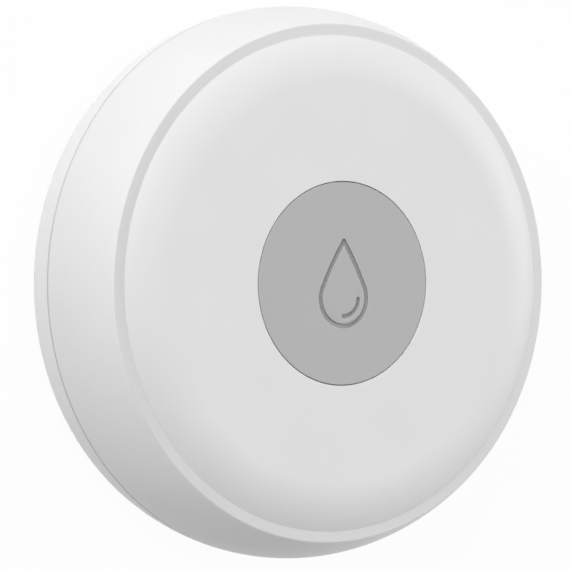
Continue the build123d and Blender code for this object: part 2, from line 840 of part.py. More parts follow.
# Button cap: a disc with a skirt, a flange with two keys, and a stem for the switch
with BuildPart() as button_cap:
    with BuildSketch(Plane.XY.offset(cap_flange_bottom)):
        Circle(button_radius)
    extrude(amount=face_height - cap_flange_bottom)
    fillet(edges().group_by(Axis.Z)[-1], button_edge_rounding)
    with BuildSketch(Plane.XY.offset(cap_flange_bottom)):
        Circle(cap_flange_radius)
        with ring_places(key_count, cap_flange_radius):
            Rectangle(2 * key_length, key_width)
    extrude(amount=cap_flange_thickness)
    with BuildSketch(Plane.XY.offset(cap_flange_bottom)):
        Circle(button_radius - cap_skirt_wall)
    extrude(amount=face_height - cap_thickness - cap_flange_bottom, mode=Mode.SUBTRACT)
    with BuildSketch(Plane.XY.offset(plunger_top)):
        Circle(stem_radius)
    extrude(amount=face_height - cap_thickness - plunger_top)
    with BuildSketch(Plane.XY.offset(face_height - cap_thickness)):
        Rectangle(2 * button_radius - cap_skirt_wall, stem_rib_thickness)
        Rectangle(stem_rib_thickness, 2 * button_radius - cap_skirt_wall)
    extrude(amount=-stem_rib_height)
    # Drop engraved in the top, as an outline with a short curved glint inside it
    with BuildSketch(Plane.XY.offset(face_height)):
        with Locations((0, -drop_round_offset)):
            Circle(drop_round_radius)
        with Locations((0, drop_tip_height - drop_tip_rounding)):
            Circle(drop_tip_rounding)
        make_hull()
        offset(amount=-drop_line_width, mode=Mode.SUBTRACT)
    extrude(amount=-drop_depth, mode=Mode.SUBTRACT)
    with BuildSketch(Plane.XY.offset(face_height)):
        glint = CenterArc((0, -drop_round_offset), glint_radius, -90, 90, mode=Mode.PRIVATE)
        SlotArc(glint, glint_line_width)
    extrude(amount=-drop_depth, mode=Mode.SUBTRACT)
write(button_cap, "button_cap")

# Membrane: a rubber cone from the clamp ring up to a bead that grips the stem
with BuildPart() as button_membrane:
    bead_inner = stem_radius + stem_fit
    bead_radius = bead_inner + membrane_bead_width
    bead_bottom = bead_top - membrane_bead_height
    web_outer = clamp_inner_radius
    with BuildSketch(Plane.XZ):
        with BuildLine():
            Polyline(
                (clamp_radius, clamp_ring_top),
                (clamp_radius, membrane_top),
                (web_outer, membrane_top),
                (bead_radius, bead_top - membrane_web),
                (bead_radius, bead_top),
                (bead_inner, bead_top),
                (bead_inner, bead_bottom),
                (bead_radius, bead_bottom),
                (web_outer, membrane_top - membrane_web),
                (web_outer, clamp_ring_top),
                close=True,
            )
        make_face()
    revolve(axis=Axis.Z)
write(button_membrane, "button_membrane")

# Clamp ring: holds the rim of the membrane up against the shell's round wall
with BuildPart() as clamp_ring:
    with BuildSketch(Plane.XY.offset(clamp_ring_bottom)):
        Circle(clamp_ring_radius)
        Circle(clamp_inner_radius, mode=Mode.SUBTRACT)
        with ring_places(stake_count, stake_circle_radius, stake_start):
            Circle(stake_radius + stake_gap, mode=Mode.SUBTRACT)
    extrude(amount=clamp_ring_thickness)
write(clamp_ring, "clamp_ring")

# Status light beside the switch
with BuildPart() as status_led:
    with BuildSketch(Plane.XY.offset(board_top)):
        with Locations((switch_side / 2 + led_gap + led_width / 2, 0)):
            RectangleRounded(led_width, led_length, led_rounding)
    extrude(amount=led_height)
write(status_led, "status_led")

# Places on the board, midway between the switch, the clamp ring and the board's edge
main_chip_distance = (switch_side / 2 + clamp_inner_radius) / 2
edge_part_distance = (clamp_ring_radius + board_radius) / 2

# Radio: a small board with its chip, under a shield can with an open bottom
radio_place = level_place(edge_part_distance, radio_angle, board_top)
with BuildPart() as radio_board:
    with BuildSketch(radio_place):
        Rectangle(radio_width, radio_length)
    extrude(amount=radio_board_thickness)
write(radio_board, "radio_board")
with BuildPart() as radio_shield:
    with BuildSketch(radio_place.offset(radio_board_thickness)):
        Rectangle(radio_width - 2 * shield_margin, radio_length - 2 * shield_margin)
    extrude(amount=shield_height)
    fillet(edges().filter_by(Axis.Z), shield_margin)
    under = faces().sort_by(Axis.Z)[0]
    offset(amount=-shield_sheet, openings=under)
write(radio_shield, "radio_shield")
with BuildPart() as radio_chip:
    with BuildSketch(radio_place.offset(radio_board_thickness)):
        Rectangle(radio_chip_side, radio_chip_side)
    extrude(amount=radio_chip_height)
write(radio_chip, "radio_chip")

# Main chip, clock crystal and small parts on the top of the board
with BuildPart() as main_chip:
    with BuildSketch(level_place(main_chip_distance, main_chip_angle, board_top)):
        Rectangle(main_chip_side, main_chip_side)
    extrude(amount=main_chip_height)
write(main_chip, "main_chip")
with BuildPart() as clock_crystal:
    with BuildSketch(level_place(edge_part_distance, crystal_angle, board_top)):
        RectangleRounded(crystal_width, crystal_length, crystal_rounding)
    extrude(amount=crystal_height)
write(clock_crystal, "clock_crystal")
with BuildPart() as capacitors:
    with BuildSketch(level_place(edge_part_distance, capacitor_angle, board_top)):
        with GridLocations(small_part_pitch, small_part_pitch, small_part_columns, capacitor_rows):
            Rectangle(capacitor_length, capacitor_width)
    extrude(amount=capacitor_height)
write(capacitors, "capacitors")
with BuildPart() as resistors:
    with BuildSketch(level_place(edge_part_distance, resistor_angle, board_top)):
        with GridLocations(small_part_pitch, small_part_pitch, small_part_columns, resistor_rows):
            Rectangle(resistor_length, resistor_width)
    extrude(amount=resistor_height)
write(resistors, "resistors")
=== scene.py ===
import bmesh
import bpy
from math import asin, atan2, cos, degrees, pi, radians, sin, sqrt, tan, tau
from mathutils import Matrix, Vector


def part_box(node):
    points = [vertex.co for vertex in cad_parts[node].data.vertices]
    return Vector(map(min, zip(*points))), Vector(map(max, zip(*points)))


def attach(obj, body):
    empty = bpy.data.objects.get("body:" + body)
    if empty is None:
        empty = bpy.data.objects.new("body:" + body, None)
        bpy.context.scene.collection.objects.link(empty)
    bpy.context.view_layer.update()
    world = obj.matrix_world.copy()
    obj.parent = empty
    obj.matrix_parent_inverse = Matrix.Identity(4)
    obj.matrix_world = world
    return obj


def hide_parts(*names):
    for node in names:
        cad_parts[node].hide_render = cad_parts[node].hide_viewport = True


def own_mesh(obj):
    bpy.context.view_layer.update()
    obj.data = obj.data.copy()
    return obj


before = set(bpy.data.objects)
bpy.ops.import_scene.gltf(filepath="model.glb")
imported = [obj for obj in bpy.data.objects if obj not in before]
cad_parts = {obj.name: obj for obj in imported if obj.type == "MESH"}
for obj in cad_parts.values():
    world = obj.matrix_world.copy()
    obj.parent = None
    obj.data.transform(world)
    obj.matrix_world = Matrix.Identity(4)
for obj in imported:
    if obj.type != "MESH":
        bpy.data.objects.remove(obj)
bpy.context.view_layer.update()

bl_info = {
    "name": "Water leak sensor",
    "version": (1, 0, 0),
    "blender": (4, 5, 0),
    "location": "3D View > Sidebar > Leak sensor",
    "description": "Builds the outside of a round floor puck that senses water, round its packed model",
    "category": "Object",
}

MM = 0.001
# Vertices nearer than this are one
MERGE = 1e-6
# Places are told apart to this share of a merge
PLACE = MERGE / 20
# Edges that bend more than this stay sharp
SHARP = radians(32)

# Steps of a full turn, by piece
CASE_STEPS, BUTTON_STEPS, DOOR_STEPS, PROBE_STEPS = 240, 192, 180, 72
PLUG_STEPS, DOME_STEPS, BOSS_STEPS, MARK_STEPS = 64, 64, 40, 32
# Steps of the case's curves: shoulder and side seen from outside, then the same two inside
SHOULDER_STEPS, SIDE_STEPS, INNER_SHOULDER_STEPS, INNER_SIDE_STEPS = 16, 30, 8, 12
# Steps of the drop's round part, one of its sides and its tip
DROP_STEPS, DROP_SIDE_STEPS, TIP_STEPS = 144, 6, 10
# Steps of the glint's long arcs and of its round ends
GLINT_STEPS, GLINT_END_STEPS = 20, 8
# Steps of the snap dome's curve, of a section's softened corner and of a slot's round end
DOME_CURVE_STEPS, CORNER_STEPS, END_STEPS = 14, 5, 10
# Steps of a quarter turn in the rounding of an edge, and of a sunk wall
QUARTER_STEPS, WALL_STEPS = 6, 3

# Fasteners and probes stand four in a ring, the probes and stakes on the diagonals
IN_RING = 4
DIAGONAL = radians(45)
# Directions of the battery door's three lugs
LUGS = (0, tau / 3, 2 * tau / 3)

# Width of faint clouds in a moulded colour, and of duller patches on a worked metal
CLOUD, METAL_PATCH = 9 * MM, 1.5 * MM
# The middle band of a noise's values, which is stretched over a range of tones
NOISE_LOW, NOISE_HIGH = 0.3, 0.7
# How far the roughness strays with the grain of a moulding, and with the patches of a metal
GRAIN_SHEEN, METAL_BRIGHTER, METAL_DULLER = 0.05, 0.06, 0.08
# Tone of a metal's patches, and of the painted shade on the base's land in the gap between the shells
METAL_PATCH_TONE, GAP_SHADE_TONE = 0.93, 0.66
# How far below the top shell's rim the painted shade of the gap begins on the base's land
GAP_SHADE_DROP = 0.14 * MM
# Metres after which a ring wave of scale 1 repeats
WAVE_LENGTH = 0.314

# Width of the camera's sensor in millimetres, and how near and far it sees in metres
SENSOR_WIDTH, SEES_FROM, SEES_TO = 36, 0.01, 20
# Cuts across the floor, which split it into small squares
FLOOR_CUTS = 7

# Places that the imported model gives
SHELL_LOW, SHELL_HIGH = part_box("top_shell")
DOOR_LOW, DOOR_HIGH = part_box("battery_door")
CAP_LOW, CAP_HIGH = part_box("button_cap")
PROBE_LOW, PROBE_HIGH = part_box("probe_screws")
PLUG_LOW, PLUG_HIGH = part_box("screw_plugs")
CLAMP_LOW, CLAMP_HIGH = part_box("clamp_ring")
DOME_LOW, DOME_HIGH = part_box("switch_dome")


# Sizes and colours that the user may change


def linear(code):
    """Linear red, green, blue and alpha of an sRGB hex value."""
    parts = [int(code[i:i + 2], 16) / 255 for i in (1, 3, 5)]
    return tuple(p / 12.92 if p <= 0.04045 else ((p + 0.055) / 1.055) ** 2.4 for p in parts) + (1.0,)


def length(name, description, millimetres):
    """A size that the user may change, kept in metres."""
    return bpy.props.FloatProperty(
        name=name, description=description, default=millimetres * MM, unit="LENGTH", precision=5
    )


def tint(name, description, code):
    """A colour that the user may change, from its sRGB hex value."""
    return bpy.props.FloatVectorProperty(
        name=name, description=description, default=linear(code)[:3], subtype="COLOR", min=0, max=1
    )


class LeakSensorCaseSizes(bpy.types.PropertyGroup):
    """Sizes of the case's top shell."""

    case_radius: length("Case radius", "Radius of the case at its widest", 31.0)
    wall_curve: length("Wall curve", "Radius of the side's curve, seen in section", 18.6)
    widest_height: length("Widest height", "Height at which the side is widest", 8.05)
    ring_height: length("Ring height", "Height of the flat ring round the face", 16.9)
    ring_width: length("Ring width", "Width of the flat ring round the face", 1.25)
    ring_rounding: length("Ring rounding", "Rounding of the ring's outer edge", 0.24)
    ring_root: length("Ring root", "Rounding where the face's shoulder meets the ring", 0.3)
    shoulder_width: length("Shoulder width", "Width of the rounded shoulder of the face", 5.25)
    parting_rounding: length("Parting rounding", "Rounding at the joint of the two shells", 0.05)
    seam_height: length("Seam height", "Height of the shadow gap between the two shells", 0.16)
    seam_depth: length("Seam depth", "Depth of the shadow gap between the two shells", 0.9)
    side_wall: length("Side wall", "Thickness of the side wall", 1.9)
    face_wall: length("Face wall", "Thickness of the face", 1.6)
    land_radius: length("Land radius", "Radius inside the rim, round the base's tongue", 29.1)
    hole_radius: length("Button hole", "Radius of the hole for the button", 11.31)
    hole_rounding: length("Hole rounding", "Rounding of the button hole's edge", 0.05)
    clamp_inner: length("Clamp wall inside", "Inner radius of the wall round the button", 12.62)
    clamp_outer: length("Clamp wall outside", "Outer radius of the wall round the button", 14.42)
    clamp_root: length("Clamp wall root", "Rounding where that wall meets the face", 0.3)
    flange_thickness: length("Membrane flange", "Thickness of the membrane's clamped rim", 0.6)
    boss_circle: length("Boss circle", "Distance of the screw bosses from the middle", 24.0)
    boss_radius: length("Boss radius", "Radius of a screw boss", 2.9)
    boss_hole: length("Boss hole", "Radius of the hole in a screw boss", 0.95)
    boss_low: length("Boss end", "Height of the lower end of the screw bosses", 7.75)
    boss_hole_top: length("Boss hole end", "Height of the end of the hole in a screw boss", 13.4)
    boss_sink: length("Boss sink", "How far the bosses and stakes run into the face's wall", 0.2)
    stake_circle: length("Stake circle", "Distance of the clamp ring's stakes from the middle", 15.67)
    stake_radius: length("Stake radius", "Radius of a stake", 0.7)
    stake_head_radius: length("Stake head radius", "Radius of a stake's closed head", 1.15)
    stake_head: length("Stake head", "Height of a stake's closed head", 0.4)


class LeakSensorButtonSizes(bpy.types.PropertyGroup):
    """Sizes of the button cap and of its engraved drop."""

    radius: length("Button radius", "Radius of the button's face", 11.22)
    rounding: length("Button rounding", "Rounding of the button's edge", 0.07)
    flange_radius: length("Flange radius", "Radius of the flange under the face", 12.22)
    flange_top: length("Flange top", "Height of the flange's top", 16.83)
    flange_low: length("Flange underside", "Height of the flange's underside", 15.93)
    skirt_radius: length("Skirt radius", "Inner radius of the cap's skirt", 10.02)
    thickness: length("Face thickness", "Thickness of the button's face", 1.3)
    stem_radius: length("Stem radius", "Radius of the stem that presses the switch", 1.6)
    key_width: length("Key width", "Width of the two keys on the flange", 1.6)
    key_length: length("Key length", "Length of the two keys on the flange", 0.9)
    drop_radius: length("Drop radius", "Radius of the round part of the drop", 3.3)
    drop_offset: length("Drop offset", "Distance of the drop's round part below the middle", 1.67)
    drop_shift: length("Drop shift", "Distance of the drop's round part to the right of the middle", 0.1)
    drop_tip: length("Drop tip", "Distance of the middle of the drop's tip above the middle", 4.7)
    side_radius: length("Side radius", "Radius of the drop's bulging sides", 36.0)
    tip_radius: length("Tip radius", "Radius of the drop's tip", 0.25)
    line_width: length("Line width", "Width of the engraved line", 0.5)
    line_depth: length("Line depth", "Depth of the engraved line", 0.3)
    line_rounding: length("Line rounding", "Rounding of the engraved line's edges", 0.03)
    line_root: length("Line root", "Rounding at the bottom of the engraved line", 0.06)
    inner_tip_radius: length("Inner tip radius", "Radius of the tip at the line's inner wall", 0.12)
    glint_radius: length("Glint radius", "Radius of the short curved line in the drop", 1.95)
    glint_width: length("Glint width", "Width of the short curved line", 0.45)


class LeakSensorSwitchSizes(bpy.types.PropertyGroup):
    """Sizes of the switch's snap dome."""

    dome_sheet: length("Dome sheet", "Thickness of the snap dome's sheet", 0.08)
    dome_pressed: bpy.props.FloatProperty(
        name="Dome pressed", description="Share of the dome's height that is left when it is pressed",
        default=0.24, min=0.01, max=1,
    )


class LeakSensorUndersideSizes(bpy.types.PropertyGroup):
    """Sizes of the battery door, the probes and the plugs."""

    door_flange: length("Door radius", "Radius of the door's disc", 17.0)
    door_flange_top: length("Door disc top", "Height of the top of the door's disc", 2.0)
    door_skirt: length("Skirt radius", "Outer radius of the door's skirt", 14.6)
    door_skirt_inner: length("Skirt inside", "Inner radius of the door's skirt", 13.3)
    door_floor: length("Door floor", "Height of the floor inside the door", 2.4)
    door_rounding: length("Door rounding", "Rounding of the door's edge", 0.3)
    slot_length: length("Coin slot length", "Length of the coin slot", 15.0)
    slot_width: length("Coin slot width", "Width of the coin slot", 2.2)
    slot_depth: length("Coin slot depth", "Depth of the coin slot", 0.8)
    slot_rounding: length("Coin slot rounding", "Rounding of the coin slot's edge", 0.12)
    mark_radius: length("Mark radius", "Radius of the dot that shows the locked place", 0.55)
    mark_depth: length("Mark depth", "Depth of the dot", 0.2)
    mark_rounding: length("Mark rounding", "Rounding of the edges of the dot and probe slots", 0.06)
    mark_angle: bpy.props.FloatProperty(
        name="Mark angle", description="Direction of the dot from the middle", default=radians(112.5),
        subtype="ANGLE",
    )
    lug_half_angle: bpy.props.FloatProperty(
        name="Lug half angle", description="Half the angle that a lug spans", default=radians(8.0),
        subtype="ANGLE",
    )
    mark_distance: length("Mark distance", "Distance of the dot from the middle", 15.7)
    lug_radius: length("Lug radius", "Radius to the outside of the lugs", 15.9)
    lug_low: length("Lug underside", "Height of the underside of the lugs", 5.02)
    probe_circle: length("Probe circle", "Distance of the probes from the middle", 21.0)
    probe_radius: length("Probe radius", "Radius of a probe's head", 3.0)
    probe_head: length("Probe head", "Height of a probe's head", 1.4)
    probe_rounding: length("Probe rounding", "Rounding of a probe's head", 0.45)
    probe_shank: length("Probe shank", "Radius of a probe's shank", 1.1)
    probe_slot_length: length("Slot length", "Length of the slot in a probe's head", 3.5)
    probe_slot_width: length("Slot width", "Width of the slot in a probe's head", 0.8)
    probe_slot_depth: length("Slot depth", "Depth of the slot in a probe's head", 0.5)
    plug_circle: length("Plug circle", "Distance of the screw plugs from the middle", 24.0)
    plug_radius: length("Plug radius", "Radius of a screw plug", 2.4)
    plug_rounding: length("Plug rounding", "Rounding of a screw plug's edge", 0.25)
    plug_dish: length("Plug dish", "Depth of the dish in a screw plug", 0.18)
    plug_dish_floor: length("Plug dish floor", "Radius of the dish's floor", 0.72)
    plug_dish_rim: length("Plug dish rim", "Radius of the dish's rim", 1.548)


class LeakSensorColours(bpy.types.PropertyGroup):
    """Colours of the finishes that show."""

    case: tint("Case", "White of the moulded case", "#E4E4E4")
    base: tint("Base", "White of the moulded base", "#E8E8E8")
    # Darker than the case: painted shade on the ring round the foot of the face
    ring: tint("Ring colour", "Colour of the coarser ring round the face", "#DCDCDC")
    button: tint("Button", "Grey of the moulded button", "#B2B2B2")
    # Darker than the button: painted shade in the engraved line's groove
    line: tint("Engraved line", "Colour of the coarser grain in the button's engraved line", "#A0A0A0")
    plug: tint("Plugs", "Pale grey of the rubber plugs", "#CFCFCC")
    probe: tint("Probes", "Stainless steel of the probes", "#C9C6C0")
    floor: tint("Floor", "Pale floor of the stage", "#F2F2F2")


class LeakSensorStageSizes(bpy.types.PropertyGroup):
    """The camera and the lamps."""

    camera_place: bpy.props.FloatVectorProperty(
        name="Camera place", description="Where the camera stands",
        default=(-0.271547, -0.000355, 0.410722), subtype="TRANSLATION", precision=5,
    )
    camera_turn: bpy.props.FloatVectorProperty(
        name="Camera turn", description="How the camera is turned about the three axes",
        default=(radians(-0.74), radians(-33.922), radians(1.326)), subtype="EULER",
    )
    lens: bpy.props.FloatProperty(
        name="Lens", description="Focal length of the camera on a 36 mm sensor",
        default=272.17, unit="CAMERA",
    )
    lamp_distance: bpy.props.FloatProperty(
        name="Lamp distance", description="Distance of each lamp from the puck",
        default=1.6, unit="LENGTH",
    )
    surround: bpy.props.FloatProperty(
        name="Surround", description="Strength of the even light from all round", default=0.1,
    )
    floor_size: bpy.props.FloatProperty(
        name="Floor size", description="Width of the floor", default=4.0, unit="LENGTH",
    )
    floor_glow: bpy.props.FloatProperty(
        name="Floor glow", description="Share of plain white in the floor that the camera sees",
        default=0.95, min=0, max=1,
    )


# Helpers for modelling in edit mode


def select_none():
    """Leave nothing selected, in object mode."""
    if bpy.context.object and bpy.context.object.mode != "OBJECT":
        bpy.ops.object.mode_set(mode="OBJECT")
    bpy.ops.object.select_all(action="DESELECT")


def open_mesh():
    """The mesh that is open in edit mode, with its vertices numbered."""
    mesh = bmesh.from_edit_mesh(bpy.context.object.data)
    mesh.verts.ensure_lookup_table()
    mesh.verts.index_update()
    return mesh


def select_parts(kind, test):
    """Select, in the open mesh, the vertices, edges or faces that pass a test."""
    modes = {"verts": (True, False, False), "edges": (False, True, False), "faces": (False, False, True)}
    bpy.context.tool_settings.mesh_select_mode = modes[kind]
    bpy.ops.mesh.select_all(action="DESELECT")
    mesh = open_mesh()
    chosen = [part for part in getattr(mesh, kind) if test(part)]
    if not chosen:
        raise RuntimeError(f"{bpy.context.object.name}: none of its {kind} passed the test")
    for part in chosen:
        part.select_set(True)
    bmesh.update_edit_mesh(bpy.context.object.data)


def arc_points(centre, radius, start, end, steps):
    """Points of an arc in the plane of radius and height, both ends included, in degrees."""
    turns = [radians(start + (end - start) * i / steps) for i in range(steps + 1)]
    return [(centre[0] + radius * cos(a), centre[1] + radius * sin(a)) for a in turns]


def soften(points):
    """The closed section with an arc at each corner that has a third value, its rounding."""
    out = []
    for i, point in enumerate(points):
        corner = Vector(point[:2])
        if len(point) < 3:
            out.append(tuple(corner))
            continue
        back = (Vector(points[i - 1][:2]) - corner).normalized()
        on = (Vector(points[(i + 1) % len(points)][:2]) - corner).normalized()
        half = back.angle(on) / 2
        centre = corner + (back + on).normalized() * (point[2] / sin(half))
        first = corner + back * (point[2] / tan(half)) - centre
        last = corner + on * (point[2] / tan(half)) - centre
        for k in range(CORNER_STEPS + 1):
            turned = first.slerp(last, k / CORNER_STEPS).normalized()
            out.append(tuple(centre + turned * point[2]))
    return out


def add_vertex(point):
    """Add one selected vertex to the open mesh."""
    bpy.context.tool_settings.mesh_select_mode = (True, False, False)
    bpy.ops.mesh.select_all(action="DESELECT")
    bpy.ops.mesh.primitive_plane_add(size=MM, location=point)
    bpy.ops.mesh.merge(type="CENTER")


def merge_all(threshold=MERGE):
    """Merge what stands in one place in the open mesh, and leave all of it selected."""
    bpy.ops.mesh.select_all(action="SELECT")
    bpy.ops.mesh.remove_doubles(threshold=threshold)
    bpy.ops.mesh.select_all(action="SELECT")


def open_piece(piece):
    """Open a piece in edit mode, with all of it selected."""
    select_none()
    piece.select_set(True)
    bpy.context.view_layer.objects.active = piece
    bpy.ops.object.mode_set(mode="EDIT")
    bpy.ops.mesh.select_all(action="SELECT")


def start_piece(name):
    """Open a new, empty object in edit mode, at the origin."""
    select_none()
    bpy.ops.mesh.primitive_plane_add(size=MM, location=(0, 0, 0))
    piece = bpy.context.object
    piece.name = name
    piece.data.name = name
    bpy.ops.object.mode_set(mode="EDIT")
    bpy.ops.mesh.select_all(action="SELECT")
    bpy.ops.mesh.delete(type="VERT")
    return piece


def spin_section(name, points, steps, closed=True):
    """A new object, left in edit mode, whose section is spun once round the Z axis."""
    piece = start_piece(name)
    line = points + points[:1] if closed else points
    add_vertex((line[0][0], 0, line[0][1]))
    for before, after in zip(line, line[1:]):
        move = (after[0] - before[0], 0, after[1] - before[1])
        bpy.ops.mesh.extrude_region_move(TRANSFORM_OT_translate={"value": move})
    merge_all()
    bpy.ops.mesh.spin(steps=steps, angle=tau, center=(0, 0, 0), axis=(0, 0, 1))
    merge_all()
    bpy.ops.mesh.normals_make_consistent(inside=False)
    return piece


def places_of(vertices):
    """The places of some vertices, rounded, by which their loop is found again."""
    return {tuple(round(c / PLACE) for c in v.co) for v in vertices}


def rim_at(height, radius):
    """The places of the ring of vertices at a height and a radius about the Z axis."""
    return places_of(
        v for v in open_mesh().verts
        if abs(v.co.z - height) < MERGE and abs(v.co.xy.length - radius) < MERGE
    )


def in_loop(vertex, loop):
    """True for a vertex that stands in a loop of places."""
    return tuple(round(c / PLACE) for c in vertex.co) in loop


def draw_loop(draw, *args):
    """Draw a closed loop while the rest of the open mesh is hidden. Returns its places."""
    bpy.context.tool_settings.mesh_select_mode = (True, False, False)
    bpy.ops.mesh.select_all(action="SELECT")
    bpy.ops.mesh.hide(unselected=False)
    draw(*args)
    merge_all()
    places = places_of(v for v in open_mesh().verts if not v.hide)
    bpy.ops.mesh.reveal(select=False)
    return places


def trace(start, moves):
    """Draw a level outline: each move is a straight step, or an anticlockwise turn about a centre."""
    add_vertex(start)
    for move in moves:
        if len(move) == 2:
            bpy.ops.mesh.extrude_region_move(TRANSFORM_OT_translate={"value": (*move, 0)})
        else:
            centre, angle, steps = move
            bpy.ops.mesh.spin(steps=steps, angle=-angle, center=(*centre, start[2]), axis=(0, 0, 1))


def circle(centre, radius, height, steps):
    """Draw a level circle."""
    bpy.ops.mesh.primitive_circle_add(vertices=steps, radius=radius, location=(*centre, height))


def terrace(loop, steps):
    """Close a level loop with a face, then inset and raise that face step by step.

    Each step is an inset and a rise. The last face stays selected. Returns its places."""
    cover(loop)
    bpy.context.tool_settings.mesh_select_mode = (False, False, True)
    bpy.ops.mesh.dissolve_faces()
    for inset, rise in steps:
        bpy.ops.mesh.inset(thickness=inset, depth=0)
        bpy.ops.transform.translate(value=(0, 0, rise))
    return places_of(v for v in open_mesh().verts if v.select)


def cover(*loops):
    """Fill the flat area inside the first loop and outside the others with faces."""
    select_parts("edges", lambda e: any(all(in_loop(v, loop) for v in e.verts) for loop in loops))
    bpy.ops.mesh.fill()


def rounded_edge(flat, rounding, height, way):
    """Section of a rounded edge, from the rim of a flat outward: way is 1 going up, -1 going down."""
    turns = [pi / 2 * i / QUARTER_STEPS for i in range(QUARTER_STEPS + 1)]
    return [(flat + rounding * sin(a), height + way * rounding * (1 - cos(a))) for a in turns]


def wall_steps(depth, lip, root):
    """Inset and rise of each step down a sunk wall, from its rounded lip to its rounded root."""
    turns = [pi / 2 * i / WALL_STEPS for i in range(WALL_STEPS + 1)]
    line = [(lip * sin(a), lip * (1 - cos(a))) for a in turns]
    line += [(lip + root * (1 - cos(a)), depth - root * (1 - sin(a))) for a in turns]
    return [(b[0] - a[0], a[1] - b[1]) for a, b in zip(line, line[1:])]


def rising(steps):
    """The steps of a sunk wall, turned over for a surface that is seen from below."""
    return [(inset, -rise) for inset, rise in steps]


def slot_outline(centre, direction, overall, width, lip, height):
    """Outline of a slot with round ends, along a direction in radians. Returns its places."""
    half = width / 2 + lip
    run = overall - width
    along = Vector((cos(direction), sin(direction)))
    across = Vector((-along.y, along.x))
    far = Vector(centre) + along * run / 2
    near = Vector(centre) - along * run / 2
    start = near - across * half
    moves = [
        tuple(along * run), (tuple(far), pi, END_STEPS), tuple(-along * run), (tuple(near), pi, END_STEPS)
    ]
    return draw_loop(trace, (*start, height), moves)


def finish_piece(piece, body, slot, material, *nodes):
    """Shade the piece smooth but for its sharp edges, and give it its finish and its place."""
    open_piece(piece)
    merge_all(MERGE / 2)
    bpy.ops.mesh.normals_make_consistent(inside=False)
    bpy.ops.object.mode_set(mode="OBJECT")
    bpy.ops.object.shade_smooth_by_angle(angle=SHARP)
    weighted = piece.modifiers.new("even shading", "WEIGHTED_NORMAL")
    weighted.keep_sharp = True
    weighted.weight = 100
    bpy.ops.object.modifier_apply(modifier=weighted.name)
    piece.data.materials.clear()
    piece.data.materials.append(material)
    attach(piece, body)
    if nodes:
        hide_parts(*nodes)
    select_none()


def second_finish(piece, material, test):
    """Give the faces that pass a test a finish of their own."""
    piece.data.materials.append(material)
    open_piece(piece)
    select_parts("faces", test)
    piece.active_material_index = 1
    bpy.ops.object.material_slot_assign()
    select_none()


def copies_round(piece):
    """The piece and its copies in a ring round the Z axis, each with its own mesh."""
    made = [piece]
    for i in range(1, IN_RING):
        select_none()
        piece.select_set(True)
        bpy.context.view_layer.objects.active = piece
        bpy.ops.object.duplicate(linked=False)
        copy = bpy.context.object
        open_piece(copy)
        turn_about_axis(tau * i / IN_RING)
        bpy.ops.object.mode_set(mode="OBJECT")
        copy.name = f"{piece.name.rsplit('_', 1)[0]}_{i + 1}"
        copy.data.name = copy.name
        made.append(copy)
    return made


def turn_about_axis(angle):
    """Turn what is selected in the open mesh about the Z axis, anticlockwise seen from above."""
    bpy.ops.transform.rotate(value=-angle, orient_axis="Z", center_override=(0, 0, 0))


def move_out(distance, direction):
    """Move all of the open piece out from the Z axis in a direction, and close the edit."""
    bpy.ops.mesh.select_all(action="SELECT")
    bpy.ops.transform.translate(value=(distance * cos(direction), distance * sin(direction), 0))
    bpy.ops.object.mode_set(mode="OBJECT")


# Materials


def add_node(material, kind, inputs=None, **settings):
    """Add a node with its settings, and set or link its inputs."""
    tree = material.node_tree
    node = tree.nodes.new(kind)
    for key, value in settings.items():
        setattr(node, key, value)
    for key, value in (inputs or {}).items():
        if isinstance(value, bpy.types.NodeSocket):
            tree.links.new(value, node.inputs[key])
        else:
            node.inputs[key].default_value = value
    return node


def new_material(name):
    """A material with an empty node tree."""
    material = bpy.data.materials.new(name)
    material.use_nodes = True
    material.node_tree.nodes.clear()
    return material


